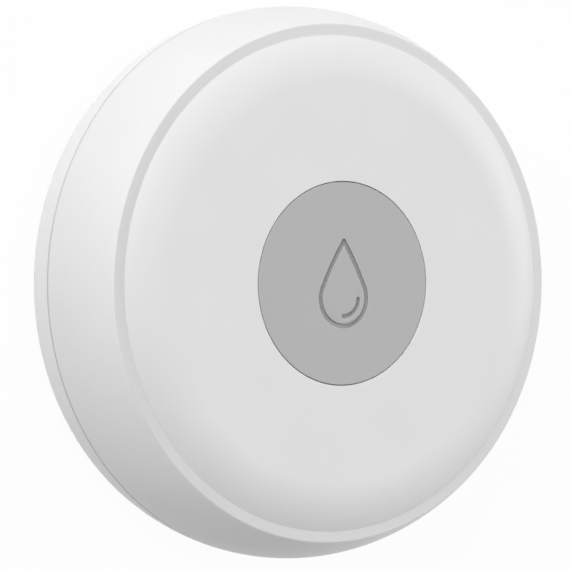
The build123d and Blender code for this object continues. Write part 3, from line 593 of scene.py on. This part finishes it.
def moulded(name, colour, rough, grain, depth, ior=1.53, patch=0.02, coat=0.0, land=None):
    """A moulded or cast material: one colour with faint cloudy patches, and a fine grain.

    grain is the width of one grain and depth its height, both in millimetres. A grain that is too
    fine to show is drawn coarser than the real one. patch is how much darker the patches get. Above
    the height land, in metres, the colour is darker. Without land it is even all the way up."""
    material = new_material(name)
    place = add_node(material, "ShaderNodeTexCoord").outputs["Object"]
    cloud = add_node(
        material, "ShaderNodeTexNoise", {"Vector": place, "Scale": 1 / CLOUD, "Detail": 3.0}
    )
    fine = add_node(
        material, "ShaderNodeTexNoise",
        {"Vector": place, "Scale": 1 / (grain * MM), "Detail": 2.0, "Roughness": 0.6},
    )
    shade = add_node(
        material, "ShaderNodeMapRange",
        {"Value": cloud.outputs["Fac"], "From Min": NOISE_LOW, "From Max": NOISE_HIGH,
         "To Min": 1 - patch, "To Max": 1.0},
    )
    level = shade.outputs["Result"]
    # Painted shade: above the height land the colour is darkened, as the shadow in the gap between the
    # shells
    if land:
        height = add_node(material, "ShaderNodeSeparateXYZ", {"Vector": place}).outputs["Z"]
        below = add_node(material, "ShaderNodeMath", {0: height, 1: land}, operation="LESS_THAN")
        gap = add_node(
            material, "ShaderNodeMapRange",
            {"Value": below.outputs["Value"], "To Min": GAP_SHADE_TONE, "To Max": 1.0},
        )
        level = add_node(
            material, "ShaderNodeMath", {0: level, 1: gap.outputs["Result"]}, operation="MULTIPLY"
        ).outputs["Value"]
    tone = add_node(
        material, "ShaderNodeVectorMath", {0: tuple(colour)[:3], "Scale": level}, operation="SCALE"
    )
    sheen = add_node(
        material, "ShaderNodeMapRange",
        {"Value": fine.outputs["Fac"], "From Min": NOISE_LOW, "From Max": NOISE_HIGH,
         "To Min": rough - GRAIN_SHEEN, "To Max": rough + GRAIN_SHEEN},
    )
    bump = add_node(
        material, "ShaderNodeBump",
        {"Height": fine.outputs["Fac"], "Strength": 1.0, "Distance": depth * MM},
    )
    shader = add_node(
        material, "ShaderNodeBsdfPrincipled",
        {"Base Color": tone.outputs["Vector"], "Roughness": sheen.outputs["Result"], "IOR": ior,
         "Normal": bump.outputs["Normal"], "Coat Weight": coat},
    )
    add_node(material, "ShaderNodeOutputMaterial", {"Surface": shader.outputs["BSDF"]})
    return material


def worked_metal(name, colour, rough, line, depth, centre=None, along=(1, 1, 1)):
    """A worked metal: fine tool lines, straight or in rings about a centre, and duller patches.

    line is the spacing of the lines and depth their height, both in millimetres. Lines that are too
    fine to show are drawn coarser than the real ones. along stretches straight lines where it is
    less than one."""
    material = new_material(name)
    place = add_node(material, "ShaderNodeTexCoord").outputs["Object"]
    if centre:
        place = add_node(
            material, "ShaderNodeMapping", {"Vector": place, "Location": (-centre[0], -centre[1], 0)}
        ).outputs["Vector"]
        lines = add_node(
            material, "ShaderNodeTexWave",
            {"Vector": place, "Scale": WAVE_LENGTH / (line * MM), "Distortion": 0.4, "Detail": 2.0},
            wave_type="RINGS", rings_direction="Z",
        )
    else:
        stretched = add_node(
            material, "ShaderNodeMapping", {"Vector": place, "Scale": along}
        ).outputs["Vector"]
        lines = add_node(
            material, "ShaderNodeTexNoise",
            {"Vector": stretched, "Scale": 1 / (line * MM), "Detail": 3.0},
        )
    patches = add_node(
        material, "ShaderNodeTexNoise", {"Vector": place, "Scale": 1 / METAL_PATCH, "Detail": 4.0}
    )
    dull = add_node(
        material, "ShaderNodeMapRange",
        {"Value": patches.outputs["Fac"], "From Min": NOISE_LOW, "From Max": NOISE_HIGH,
         "To Min": rough - METAL_BRIGHTER, "To Max": rough + METAL_DULLER},
    )
    tone = add_node(
        material, "ShaderNodeMapRange",
        {"Value": patches.outputs["Fac"], "From Min": NOISE_LOW, "From Max": NOISE_HIGH,
         "To Min": METAL_PATCH_TONE, "To Max": 1.0},
    )
    stain = add_node(
        material, "ShaderNodeVectorMath",
        {0: tuple(colour)[:3], "Scale": tone.outputs["Result"]}, operation="SCALE",
    )
    bump = add_node(
        material, "ShaderNodeBump",
        {"Height": lines.outputs["Fac"], "Strength": 1.0, "Distance": depth * MM},
    )
    shader = add_node(
        material, "ShaderNodeBsdfPrincipled",
        {"Base Color": stain.outputs["Vector"], "Metallic": 1.0,
         "Roughness": dull.outputs["Result"], "Normal": bump.outputs["Normal"]},
    )
    add_node(material, "ShaderNodeOutputMaterial", {"Surface": shader.outputs["BSDF"]})
    return material


def make_finishes(colours):
    """Every finish of the object, by the part that wears it."""
    made = {}
    # White ABS, injection moulded in a finely spark-eroded tool: an even, soft sheen
    made["case"] = moulded("white_abs_moulded", colours.case, rough=0.5, grain=0.22, depth=0.0016)
    # The same on the base, whose land in the gap between the shells is drawn darker: painted shade of the
    # gap
    made["base"] = moulded(
        "white_abs_moulded_base", colours.base, rough=0.5, grain=0.22, depth=0.0016,
        land=SHELL_LOW.z - GAP_SHADE_DROP,
    )
    # The same ABS with a coarser spark-eroded grain on the ring, rougher and in a darker colour: painted
    # shade round the foot of the face's shoulder
    made["ring"] = moulded("white_abs_coarse_grain", colours.ring, rough=0.6, grain=0.3, depth=0.003)
    # The inside of the same shells, left as the cutter polished it, so a little glossier
    made["inside"] = moulded("white_abs_inside", colours.case, rough=0.38, grain=0.6, depth=0.002)
    # Grey ABS with a coarser grain, which keeps finger marks from showing: matt and flat
    made["button"] = moulded("grey_abs_moulded", colours.button, rough=0.55, grain=0.22, depth=0.002)
    # The walls and bottom of the engraved line, rougher than the face and in a darker colour: painted
    # shade in the groove
    made["line"] = moulded("grey_abs_etched_line", colours.line, rough=0.65, grain=0.2, depth=0.003)
    # Soft thermoplastic rubber of the screw plugs: dull, with a powdery grain
    made["plug"] = moulded(
        "pale_rubber_moulded", colours.plug, rough=0.72, grain=0.3, depth=0.004, ior=1.5
    )
    # Black nitrile rubber of the seals: dark and faintly shiny where it is stretched
    made["seal"] = moulded(
        "black_nitrile_moulded", linear("#1B1B1C"), rough=0.5, grain=0.3, depth=0.003, ior=1.52
    )
    # Silicone rubber of the membrane: milky and waxy
    made["membrane"] = moulded(
        "milky_silicone_moulded", linear("#D9D9D4"), rough=0.45, grain=0.8, depth=0.004, ior=1.41
    )
    # Natural nylon of the cell's holder and the clamp ring: ivory and faintly glossy
    made["nylon"] = moulded(
        "natural_nylon_moulded", linear("#E6E1D0"), rough=0.42, grain=0.4, depth=0.002
    )
    # Black glass-filled nylon of the switch: fibres at the skin make it dull and mottled
    made["switch"] = moulded(
        "black_nylon_moulded", linear("#202022"), rough=0.6, grain=0.25, depth=0.004, patch=0.1
    )
    # Acetal of the plunger: smooth, dense and slightly greasy to look at
    made["plunger"] = moulded(
        "brown_acetal_moulded", linear("#4A3226"), rough=0.35, grain=0.5, depth=0.001, ior=1.48
    )
    # Glass and epoxy board under green solder mask: glossy over a fine weave
    made["board"] = moulded(
        "green_solder_mask", linear("#1D5A37"), rough=0.3, grain=0.45, depth=0.004, patch=0.12,
        coat=0.4,
    )
    # Epoxy moulding compound of the chips: black, sandy and matt
    made["chip"] = moulded("black_epoxy_moulded", linear("#232324"), rough=0.65, grain=0.12, depth=0.004)
    # Fired ceramic of the capacitors: tan and smooth
    made["ceramic"] = moulded(
        "tan_ceramic_fired", linear("#A98A66"), rough=0.45, grain=0.1, depth=0.002, ior=1.6
    )
    # Pale resin of the status light, cast smooth: glossy and slightly yellow
    made["light"] = moulded(
        "clear_resin_cast", linear("#E9E6C9"), rough=0.2, grain=0.6, depth=0.0005, coat=0.5
    )
    # Zinc-plated steel of the case screws, rolled: bright with bluish grey
    made["screw"] = worked_metal(
        "zinc_plated_steel_rolled", linear("#B9BDC1"), rough=0.34, line=0.12, depth=0.002
    )
    # Spring steel of the contacts, nickel-plated and pressed: lines along the strip
    made["contact"] = worked_metal(
        "nickel_plated_steel_pressed", linear("#CFC9BC"), rough=0.28, line=0.08, depth=0.0015,
        along=(0.1, 1, 1),
    )
    # Deep-drawn steel can of the coin cell, nickel-plated and brushed in rings
    made["cell"] = worked_metal(
        "nickel_plated_steel_drawn", linear("#CDCBC6"), rough=0.3, line=0.15, depth=0.0012,
        centre=(0, 0),
    )
    # Turned brass of the posts: yellow, with fine marks of the tool
    made["post"] = worked_metal("brass_turned", linear("#D2AE62"), rough=0.32, line=0.12, depth=0.0015)
    # Tinned steel of the radio's shield: grey-white and soft
    made["shield"] = worked_metal(
        "tinned_steel_pressed", linear("#C4C6C6"), rough=0.38, line=0.2, depth=0.0015
    )
    return made


NODE_FINISHES = {
    "base_shell": "base", "housing_seal": "seal", "door_seal": "seal", "probe_seals": "seal",
    "button_membrane": "membrane", "clamp_ring": "nylon", "battery_holder": "nylon",
    "switch_body": "switch", "switch_plunger": "plunger", "switch_plate": "contact",
    "switch_dome": "contact", "positive_contact": "contact", "negative_contact": "contact",
    "battery_cell": "cell", "probe_posts": "post", "case_screws": "screw", "circuit_board": "board",
    "radio_board": "board", "radio_shield": "shield", "radio_chip": "chip", "main_chip": "chip",
    "clock_crystal": "shield", "capacitors": "ceramic", "resistors": "chip", "status_led": "light",
}
FINISHES = {}


# Operators, one for each piece or group of like pieces


class LEAKSENSOR_OT_finishes(bpy.types.Operator):
    """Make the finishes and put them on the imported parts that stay"""

    bl_idname = "leak_sensor.finishes"
    bl_label = "Finishes"

    def execute(self, context):
        FINISHES.update(make_finishes(context.scene.leak_sensor_colours))
        for node, key in NODE_FINISHES.items():
            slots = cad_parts[node].data.materials
            slots.clear()
            slots.append(FINISHES[key])
        return {"FINISHED"}


class LEAKSENSOR_OT_case_top(bpy.types.Operator):
    """Build the white top shell: curved side, flat ring, domed face and button hole"""

    bl_idname = "leak_sensor.case_top"
    bl_label = "Case top"

    def execute(self, context):
        s = context.scene.leak_sensor_case
        face, parting = SHELL_HIGH.z, SHELL_LOW.z
        side = (s.case_radius - s.wall_curve, s.widest_height)

        def side_angle(height, inset=0.0):
            """Angle on the side's curve at a height."""
            return degrees(asin((height - s.widest_height) / (s.wall_curve - inset)))

        ring_outer = side[0] + s.wall_curve * cos(radians(side_angle(s.ring_height)))
        ring_inner = ring_outer - s.ring_width
        rise = face - s.ring_height
        flat = ring_inner - s.shoulder_width
        curve = (s.shoulder_width**2 + rise**2) / (2 * rise)
        shoulder = (flat, face - curve)
        shoulder_end = degrees(atan2(s.ring_height - shoulder[1], ring_inner - flat))
        shelf = s.ring_height - s.side_wall
        inner_end = degrees(asin((shelf - shoulder[1]) / (curve - s.face_wall)))
        ceiling = face - s.face_wall
        lip = parting + s.seam_height
        low = side_angle(lip)
        section = [(s.hole_radius, face, s.hole_rounding)]
        section += arc_points(shoulder, curve, 90, shoulder_end, SHOULDER_STEPS)[:-1]
        section += [
            (ring_inner, s.ring_height, s.ring_root), (ring_outer, s.ring_height, s.ring_rounding)
        ]
        section += arc_points(side, s.wall_curve, side_angle(s.ring_height), low, SIDE_STEPS)[1:-1]
        section += [(side[0] + s.wall_curve * cos(radians(low)), lip, s.parting_rounding)]
        section += [(s.case_radius - s.seam_depth, lip), (s.case_radius - s.seam_depth, parting)]
        section += [(s.land_radius, parting), (s.land_radius, s.widest_height)]
        section += arc_points(
            side, s.wall_curve - s.side_wall, 0, side_angle(shelf, s.side_wall), INNER_SIDE_STEPS
        )[1:]
        section += arc_points(shoulder, curve - s.face_wall, inner_end, 90, INNER_SHOULDER_STEPS)
        section += [
            (s.clamp_outer, ceiling, s.clamp_root), (s.clamp_outer, CLAMP_HIGH.z + s.flange_thickness),
            (s.clamp_inner, CLAMP_HIGH.z + s.flange_thickness), (s.clamp_inner, ceiling),
            (s.hole_radius, ceiling),
        ]
        piece = spin_section("case_top", soften(section), CASE_STEPS)
        finish_piece(piece, "case", "case_plastic", FINISHES["case"], "top_shell")
        # The flat ring's faces take the darker finish: painted shade round the foot of the face
        second_finish(
            piece, FINISHES["ring"],
            lambda f: abs(f.calc_center_median().z - s.ring_height) < s.ring_rounding / 4
            and ring_inner - s.ring_root < f.calc_center_median().xy.length < ring_outer,
        )
        self.add_bosses(s, ceiling)
        return {"FINISHED"}

    def add_bosses(self, s, ceiling):
        """Add the four screw bosses and the four stakes of the clamp ring, under the face."""
        boss_top = ceiling + s.boss_sink
        boss = [
            (0, s.boss_hole_top), (s.boss_hole, s.boss_hole_top), (s.boss_hole, s.boss_low),
            (s.boss_radius, s.boss_low), (s.boss_radius, boss_top), (0, boss_top),
        ]
        stake = [
            (0, CLAMP_LOW.z - s.stake_head), (s.stake_head_radius, CLAMP_LOW.z - s.stake_head),
            (s.stake_head_radius, CLAMP_LOW.z), (s.stake_radius, CLAMP_LOW.z),
            (s.stake_radius, boss_top), (0, boss_top),
        ]
        for name, section, distance, direction in (
            ("screw_boss_1", boss, s.boss_circle, 0),
            ("clamp_stake_1", stake, s.stake_circle, DIAGONAL),
        ):
            piece = spin_section(name, section, BOSS_STEPS, closed=False)
            move_out(distance, direction)
            for copy in copies_round(piece):
                finish_piece(copy, "case", "case_plastic", FINISHES["inside"])


class LEAKSENSOR_OT_button(bpy.types.Operator):
    """Build the grey button cap with its engraved drop"""

    bl_idname = "leak_sensor.button"
    bl_label = "Button"

    def execute(self, context):
        s = context.scene.leak_sensor_button
        face = CAP_HIGH.z
        roof = face - s.thickness
        edge_radius = s.radius - s.rounding
        section = rounded_edge(edge_radius, s.rounding, face, -1) + [
            (s.radius, s.flange_top), (s.flange_radius, s.flange_top), (s.flange_radius, s.flange_low),
            (s.skirt_radius, s.flange_low), (s.skirt_radius, roof), (s.stem_radius, roof),
            (s.stem_radius, CAP_LOW.z), (0, CAP_LOW.z),
        ]
        piece = spin_section("button", section, BUTTON_STEPS, closed=False)
        # Two keys on the flange, which keep the button from turning
        for way in (1, -1):
            select_parts(
                "faces",
                lambda f: f.calc_center_median().x * way > s.flange_radius - s.rounding
                and abs(f.calc_center_median().y) < s.key_width / 2,
            )
            bpy.ops.mesh.extrude_region_move(TRANSFORM_OT_translate={"value": (way * s.key_length, 0, 0)})
        rim = rim_at(face, edge_radius)
        # The drop's line: its outer wall goes down, its inner wall goes up again from the floor
        down = wall_steps(s.line_depth, s.line_rounding, s.line_root)
        up = [(inset, -rise) for inset, rise in reversed(down)]
        outer = self.drop(s, -s.line_rounding, s.tip_radius + s.line_rounding, face)
        outer_floor = terrace(outer, down)
        bpy.ops.mesh.delete(type="ONLY_FACE")
        floor_inset = s.line_width - s.line_root
        inner_floor = self.drop(s, floor_inset, s.inner_tip_radius, face - s.line_depth)
        inner = terrace(inner_floor, up)
        bpy.ops.mesh.delete(type="ONLY_FACE")
        # The glint inside the drop, sunk in the same way
        glint = self.glint(s, -s.line_rounding, face)
        terrace(glint, down)
        cover(rim, outer)
        cover(outer_floor, inner_floor)
        cover(inner, glint)
        finish_piece(piece, "button", "button_plastic", FINISHES["button"], "button_cap")
        # The engraved line's walls and bottom take the darker finish: painted shade in the groove
        low, high = face - s.line_depth - s.line_root, face - s.line_rounding / 2
        outside = s.drop_tip + s.tip_radius + s.line_width
        second_finish(
            piece, FINISHES["line"],
            lambda f: low < f.calc_center_median().z < high
            and f.calc_center_median().xy.length < outside,
        )
        return {"FINISHED"}

    def drop(self, s, inset, tip, height):
        """A drop's outline: a large arc, two slightly bulging sides and the small arc of the tip."""
        centre = Vector((s.drop_shift, -s.drop_offset))
        axis = Vector((0, s.drop_tip)) - centre
        height_of_tip = axis.length
        axis.normalize()
        across = Vector((axis.y, -axis.x))
        # The sides' centres: so far along the axis from the round part's centre, and so far off it
        reach = s.side_radius - s.drop_radius
        along = (height_of_tip**2 + reach**2 - (s.side_radius - s.tip_radius) ** 2) / (2 * height_of_tip)
        off = sqrt(reach**2 - along**2)
        rise = sqrt((s.side_radius - inset - tip) ** 2 - off**2)
        apex = centre + axis * (along + rise)
        low_turn, high_turn = atan2(off, -along), atan2(off, rise)
        moves = [
            (tuple(centre), tau - 2 * low_turn, DROP_STEPS),
            (tuple(centre + axis * along - across * off), low_turn - high_turn, DROP_SIDE_STEPS),
            (tuple(apex), 2 * high_turn, TIP_STEPS),
            (tuple(centre + axis * along + across * off), low_turn - high_turn, DROP_SIDE_STEPS),
        ]
        start = centre - (axis * along + across * off) * ((s.drop_radius - inset) / reach)
        return draw_loop(trace, (*start, height), moves)

    def glint(self, s, inset, height):
        """The glint's outline: two arcs about the drop's middle with round ends."""
        half = s.glint_width / 2 - inset
        middle = (s.drop_shift, -s.drop_offset)
        right = (s.drop_shift + s.glint_radius, -s.drop_offset)
        low = (s.drop_shift, -s.drop_offset - s.glint_radius)
        moves = [
            (middle, pi / 2, GLINT_STEPS), (right, pi, GLINT_END_STEPS),
            (middle, -pi / 2, GLINT_STEPS), (low, pi, GLINT_END_STEPS),
        ]
        return draw_loop(trace, (low[0], low[1] - half, height), moves)


class LEAKSENSOR_OT_snap_dome(bpy.types.Operator):
    """Build the switch's snap dome, unpressed: a spring sheet that flattens under the plunger"""

    bl_idname = "leak_sensor.snap_dome"
    bl_label = "Snap dome"

    def execute(self, context):
        s = context.scene.leak_sensor_switch
        radius = (DOME_HIGH.x - DOME_LOW.x) / 2
        lift = DOME_HIGH.z - DOME_LOW.z
        curve = (radius**2 + lift**2) / (2 * lift)
        centre = (0, DOME_HIGH.z - curve)
        drop = DOME_LOW.z - centre[1]
        inner = curve - s.dome_sheet
        section = arc_points(centre, curve, 90, degrees(asin(drop / curve)), DOME_CURVE_STEPS)
        section += arc_points(centre, inner, degrees(asin(drop / inner)), 90, DOME_CURVE_STEPS)
        piece = spin_section("snap_dome", section, DOME_STEPS, closed=False)
        bpy.ops.mesh.select_all(action="SELECT")
        middle = (DOME_HIGH + DOME_LOW) / 2
        bpy.ops.transform.translate(value=(middle.x, middle.y, 0))
        finish_piece(piece, "case", "contact_steel", FINISHES["contact"], "switch_dome")
        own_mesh(piece)
        return {"FINISHED"}


class LEAKSENSOR_OT_battery_door(bpy.types.Operator):
    """Build the battery door: a disc with a coin slot, a skirt and three lugs"""

    bl_idname = "leak_sensor.battery_door"
    bl_label = "Battery door"

    def execute(self, context):
        s = context.scene.leak_sensor_underside
        low, high = DOOR_LOW.z, DOOR_HIGH.z
        edge_radius = s.door_flange - s.door_rounding
        section = rounded_edge(edge_radius, s.door_rounding, low, 1) + [
            (s.door_flange, s.door_flange_top), (s.door_skirt, s.door_flange_top),
            (s.door_skirt, s.lug_low), (s.door_skirt, high), (s.door_skirt_inner, high),
            (s.door_skirt_inner, s.door_floor), (0, s.door_floor),
        ]
        piece = spin_section("battery_door_disc", section, DOOR_STEPS, closed=False)
        # Three lugs on the skirt, pushed out of its upper edge
        for lug in LUGS:
            select_parts(
                "faces",
                lambda f: f.calc_center_median().z > s.lug_low
                and f.calc_center_median().xy.length > s.door_skirt - s.door_rounding
                and abs(self.turn_from(f, lug)) < s.lug_half_angle,
            )
            share = s.lug_radius / s.door_skirt
            bpy.ops.mesh.extrude_region_move(TRANSFORM_OT_translate={"value": (0, 0, 0)})
            bpy.ops.transform.resize(value=(share, share, 1), center_override=(0, 0, 0))
        rim = rim_at(low, edge_radius)
        slot = slot_outline((0, 0), 0.0, s.slot_length, s.slot_width, s.slot_rounding, low)
        terrace(slot, rising(wall_steps(s.slot_depth, s.slot_rounding, s.slot_rounding)))
        mark_place = (s.mark_distance * cos(s.mark_angle), s.mark_distance * sin(s.mark_angle))
        mark = draw_loop(circle, mark_place, s.mark_radius + s.mark_rounding, low, MARK_STEPS)
        terrace(mark, rising(wall_steps(s.mark_depth, s.mark_rounding, s.mark_rounding)))
        cover(rim, slot, mark)
        finish_piece(piece, "door", "case_plastic", FINISHES["case"], "battery_door")
        return {"FINISHED"}

    def turn_from(self, face, direction):
        """Angle between a face and a direction about the Z axis."""
        centre = face.calc_center_median()
        return (atan2(centre.y, centre.x) - direction + pi) % tau - pi


class LEAKSENSOR_OT_probes(bpy.types.Operator):
    """Build the four steel probes with their slotted heads"""

    bl_idname = "leak_sensor.probes"
    bl_label = "Probes"

    def execute(self, context):
        s = context.scene.leak_sensor_underside
        flat = s.probe_radius - s.probe_rounding
        section = rounded_edge(flat, s.probe_rounding, PROBE_LOW.z, 1) + [
            (s.probe_radius, s.probe_head), (s.probe_shank, s.probe_head),
            (s.probe_shank, PROBE_HIGH.z), (0, PROBE_HIGH.z),
        ]
        piece = spin_section("probe_1", section, PROBE_STEPS, closed=False)
        rim = rim_at(PROBE_LOW.z, flat)
        slot = slot_outline(
            (0, 0), DIAGONAL, s.probe_slot_length, s.probe_slot_width, s.mark_rounding, PROBE_LOW.z
        )
        terrace(slot, rising(wall_steps(s.probe_slot_depth, s.mark_rounding, s.mark_rounding)))
        cover(rim, slot)
        move_out(s.probe_circle, DIAGONAL)
        colour = context.scene.leak_sensor_colours.probe
        for i, copy in enumerate(copies_round(piece)):
            turn = DIAGONAL + tau * i / IN_RING
            centre = (s.probe_circle * cos(turn), s.probe_circle * sin(turn))
            # Stainless steel, turned: rings of the tool about each probe's own axis
            steel = worked_metal(
                f"stainless_steel_turned_{i + 1}", colour, rough=0.3, line=0.16, depth=0.0015,
                centre=centre,
            )
            finish_piece(copy, "case", "probe_steel", steel, "probe_screws")
        return {"FINISHED"}


class LEAKSENSOR_OT_plugs(bpy.types.Operator):
    """Build the four rubber plugs over the case screws"""

    bl_idname = "leak_sensor.plugs"
    bl_label = "Screw plugs"

    def execute(self, context):
        s = context.scene.leak_sensor_underside
        flat = s.plug_radius - s.plug_rounding
        section = [
            (0, PLUG_LOW.z + s.plug_dish), (s.plug_dish_floor, PLUG_LOW.z + s.plug_dish),
            (s.plug_dish_rim, PLUG_LOW.z),
        ]
        section += rounded_edge(flat, s.plug_rounding, PLUG_LOW.z, 1)
        section += [(s.plug_radius, PLUG_HIGH.z), (0, PLUG_HIGH.z)]
        piece = spin_section("screw_plug_1", section, PLUG_STEPS, closed=False)
        move_out(s.plug_circle, 0)
        for copy in copies_round(piece):
            finish_piece(copy, "case", "plug_rubber", FINISHES["plug"], "screw_plugs")
        return {"FINISHED"}


class LEAKSENSOR_OT_stage(bpy.types.Operator):
    """Build the pale floor, the soft lamps, the surrounding light and the camera"""

    bl_idname = "leak_sensor.stage"
    bl_label = "Stage"

    def execute(self, context):
        s = context.scene.leak_sensor_stage
        select_none()
        bpy.ops.mesh.primitive_plane_add(size=s.floor_size, location=(0, 0, 0))
        floor = bpy.context.object
        floor.name = "floor"
        bpy.ops.object.mode_set(mode="EDIT")
        bpy.ops.mesh.subdivide(number_cuts=FLOOR_CUTS)
        bpy.ops.object.mode_set(mode="OBJECT")
        colour = context.scene.leak_sensor_colours.floor
        floor.data.materials.append(self.floor_finish(colour, s.floor_glow))
        for name, azimuth, elevation, size, power in LAMPS:
            self.add_lamp(name, azimuth, elevation, size, power, s.lamp_distance)
        self.add_surround(context.scene, s.surround)
        bpy.ops.object.camera_add(location=s.camera_place, rotation=s.camera_turn)
        camera = bpy.context.object
        camera.name = "camera"
        camera.data.lens = s.lens
        camera.data.sensor_width = SENSOR_WIDTH
        camera.data.clip_start = SEES_FROM
        camera.data.clip_end = SEES_TO
        context.scene.camera = camera
        context.scene.view_settings.view_transform = "Standard"
        select_none()
        return {"FINISHED"}

    def floor_finish(self, colour, glow):
        """Pale paper floor: seen straight it is nearly white, and it still takes the soft shadow."""
        material = new_material("pale_paper_floor")
        path = add_node(material, "ShaderNodeLightPath")
        seen = add_node(
            material, "ShaderNodeMath",
            {0: path.outputs["Is Camera Ray"], 1: path.outputs["Is Glossy Ray"]}, operation="MAXIMUM",
        )
        share = add_node(
            material, "ShaderNodeMath", {0: seen.outputs["Value"], 1: glow}, operation="MULTIPLY"
        )
        plain = add_node(material, "ShaderNodeBsdfDiffuse", {"Color": (*colour, 1)})
        white = add_node(material, "ShaderNodeEmission", {"Color": (1, 1, 1, 1), "Strength": 1.0})
        mix = add_node(
            material, "ShaderNodeMixShader",
            {"Fac": share.outputs["Value"], 1: plain.outputs["BSDF"], 2: white.outputs["Emission"]},
        )
        add_node(material, "ShaderNodeOutputMaterial", {"Surface": mix.outputs["Shader"]})
        return material

    def add_lamp(self, name, azimuth, elevation, size, power, distance):
        """A round soft lamp that points at the puck."""
        a, e = radians(azimuth), radians(elevation)
        away = Vector((cos(a) * cos(e), sin(a) * cos(e), sin(e)))
        bpy.ops.object.light_add(type="AREA", location=away * distance)
        lamp = bpy.context.object
        lamp.name = name
        lamp.rotation_euler = away.to_track_quat("Z", "Y").to_euler()
        lamp.data.shape = "DISK"
        lamp.data.size = size
        lamp.data.energy = power

    def add_surround(self, scene, strength):
        """Even surrounding light, which the camera and reflections see as plain white."""
        world = bpy.data.worlds.new("studio")
        world.use_nodes = True
        scene.world = world
        world.node_tree.nodes.clear()
        path = add_node(world, "ShaderNodeLightPath")
        seen = add_node(
            world, "ShaderNodeMath",
            {0: path.outputs["Is Camera Ray"], 1: path.outputs["Is Glossy Ray"]}, operation="MAXIMUM",
        )
        level = add_node(
            world, "ShaderNodeMapRange",
            {"Value": seen.outputs["Value"], "To Min": strength, "To Max": 1.0},
        )
        light = add_node(
            world, "ShaderNodeBackground", {"Color": (1, 1, 1, 1), "Strength": level.outputs["Result"]}
        )
        add_node(world, "ShaderNodeOutputWorld", {"Surface": light.outputs["Background"]})


# Name of a lamp, its direction and elevation in degrees, its diameter in metres and power in watts
LAMPS = (
    ("key_lamp", 148, 36, 1.0, 14.9),
    ("top_lamp", 90, 12, 1.0, 7.2),
    ("right_lamp", 7, 19, 1.0, 8.9),
    ("left_lamp", 165, 14, 1.0, 2.5),
    ("overhead_lamp", 0, 89, 1.0, 6.9),
    ("low_lamp", -30, 20, 1.0, 3.7),
)


class LEAKSENSOR_PT_panel(bpy.types.Panel):
    """The builders of the leak sensor's pieces, in the order in which they run"""

    bl_idname = "LEAKSENSOR_PT_panel"
    bl_label = "Water leak sensor"
    bl_space_type = "VIEW_3D"
    bl_region_type = "UI"
    bl_category = "Leak sensor"

    def draw(self, context):
        for operator in OPERATORS:
            self.layout.operator(operator.bl_idname)
        for group in GROUPS:
            sizes = getattr(context.scene, group)
            box = self.layout.box()
            for name in sizes.bl_rna.properties.keys():
                if name not in ("rna_type", "name"):
                    box.prop(sizes, name)


GROUPS = {
    "leak_sensor_case": LeakSensorCaseSizes,
    "leak_sensor_button": LeakSensorButtonSizes,
    "leak_sensor_switch": LeakSensorSwitchSizes,
    "leak_sensor_underside": LeakSensorUndersideSizes,
    "leak_sensor_colours": LeakSensorColours,
    "leak_sensor_stage": LeakSensorStageSizes,
}
OPERATORS = (
    LEAKSENSOR_OT_finishes,
    LEAKSENSOR_OT_case_top,
    LEAKSENSOR_OT_button,
    LEAKSENSOR_OT_snap_dome,
    LEAKSENSOR_OT_battery_door,
    LEAKSENSOR_OT_probes,
    LEAKSENSOR_OT_plugs,
    LEAKSENSOR_OT_stage,
)


def register():
    """Add the classes and the groups of sizes."""
    for item in (*GROUPS.values(), *OPERATORS, LEAKSENSOR_PT_panel):
        bpy.utils.register_class(item)
    for name, group in GROUPS.items():
        setattr(bpy.types.Scene, name, bpy.props.PointerProperty(type=group))


def unregister():
    """Remove the groups of sizes and the classes."""
    for name in GROUPS:
        delattr(bpy.types.Scene, name)
    for item in reversed((*GROUPS.values(), *OPERATORS, LEAKSENSOR_PT_panel)):
        bpy.utils.unregister_class(item)


def main():
    """Build everything in order."""
    register()
    for operator in OPERATORS:
        group, name = operator.bl_idname.split(".")
        getattr(getattr(bpy.ops, group), name)()


if __name__ == "__main__":
    main()
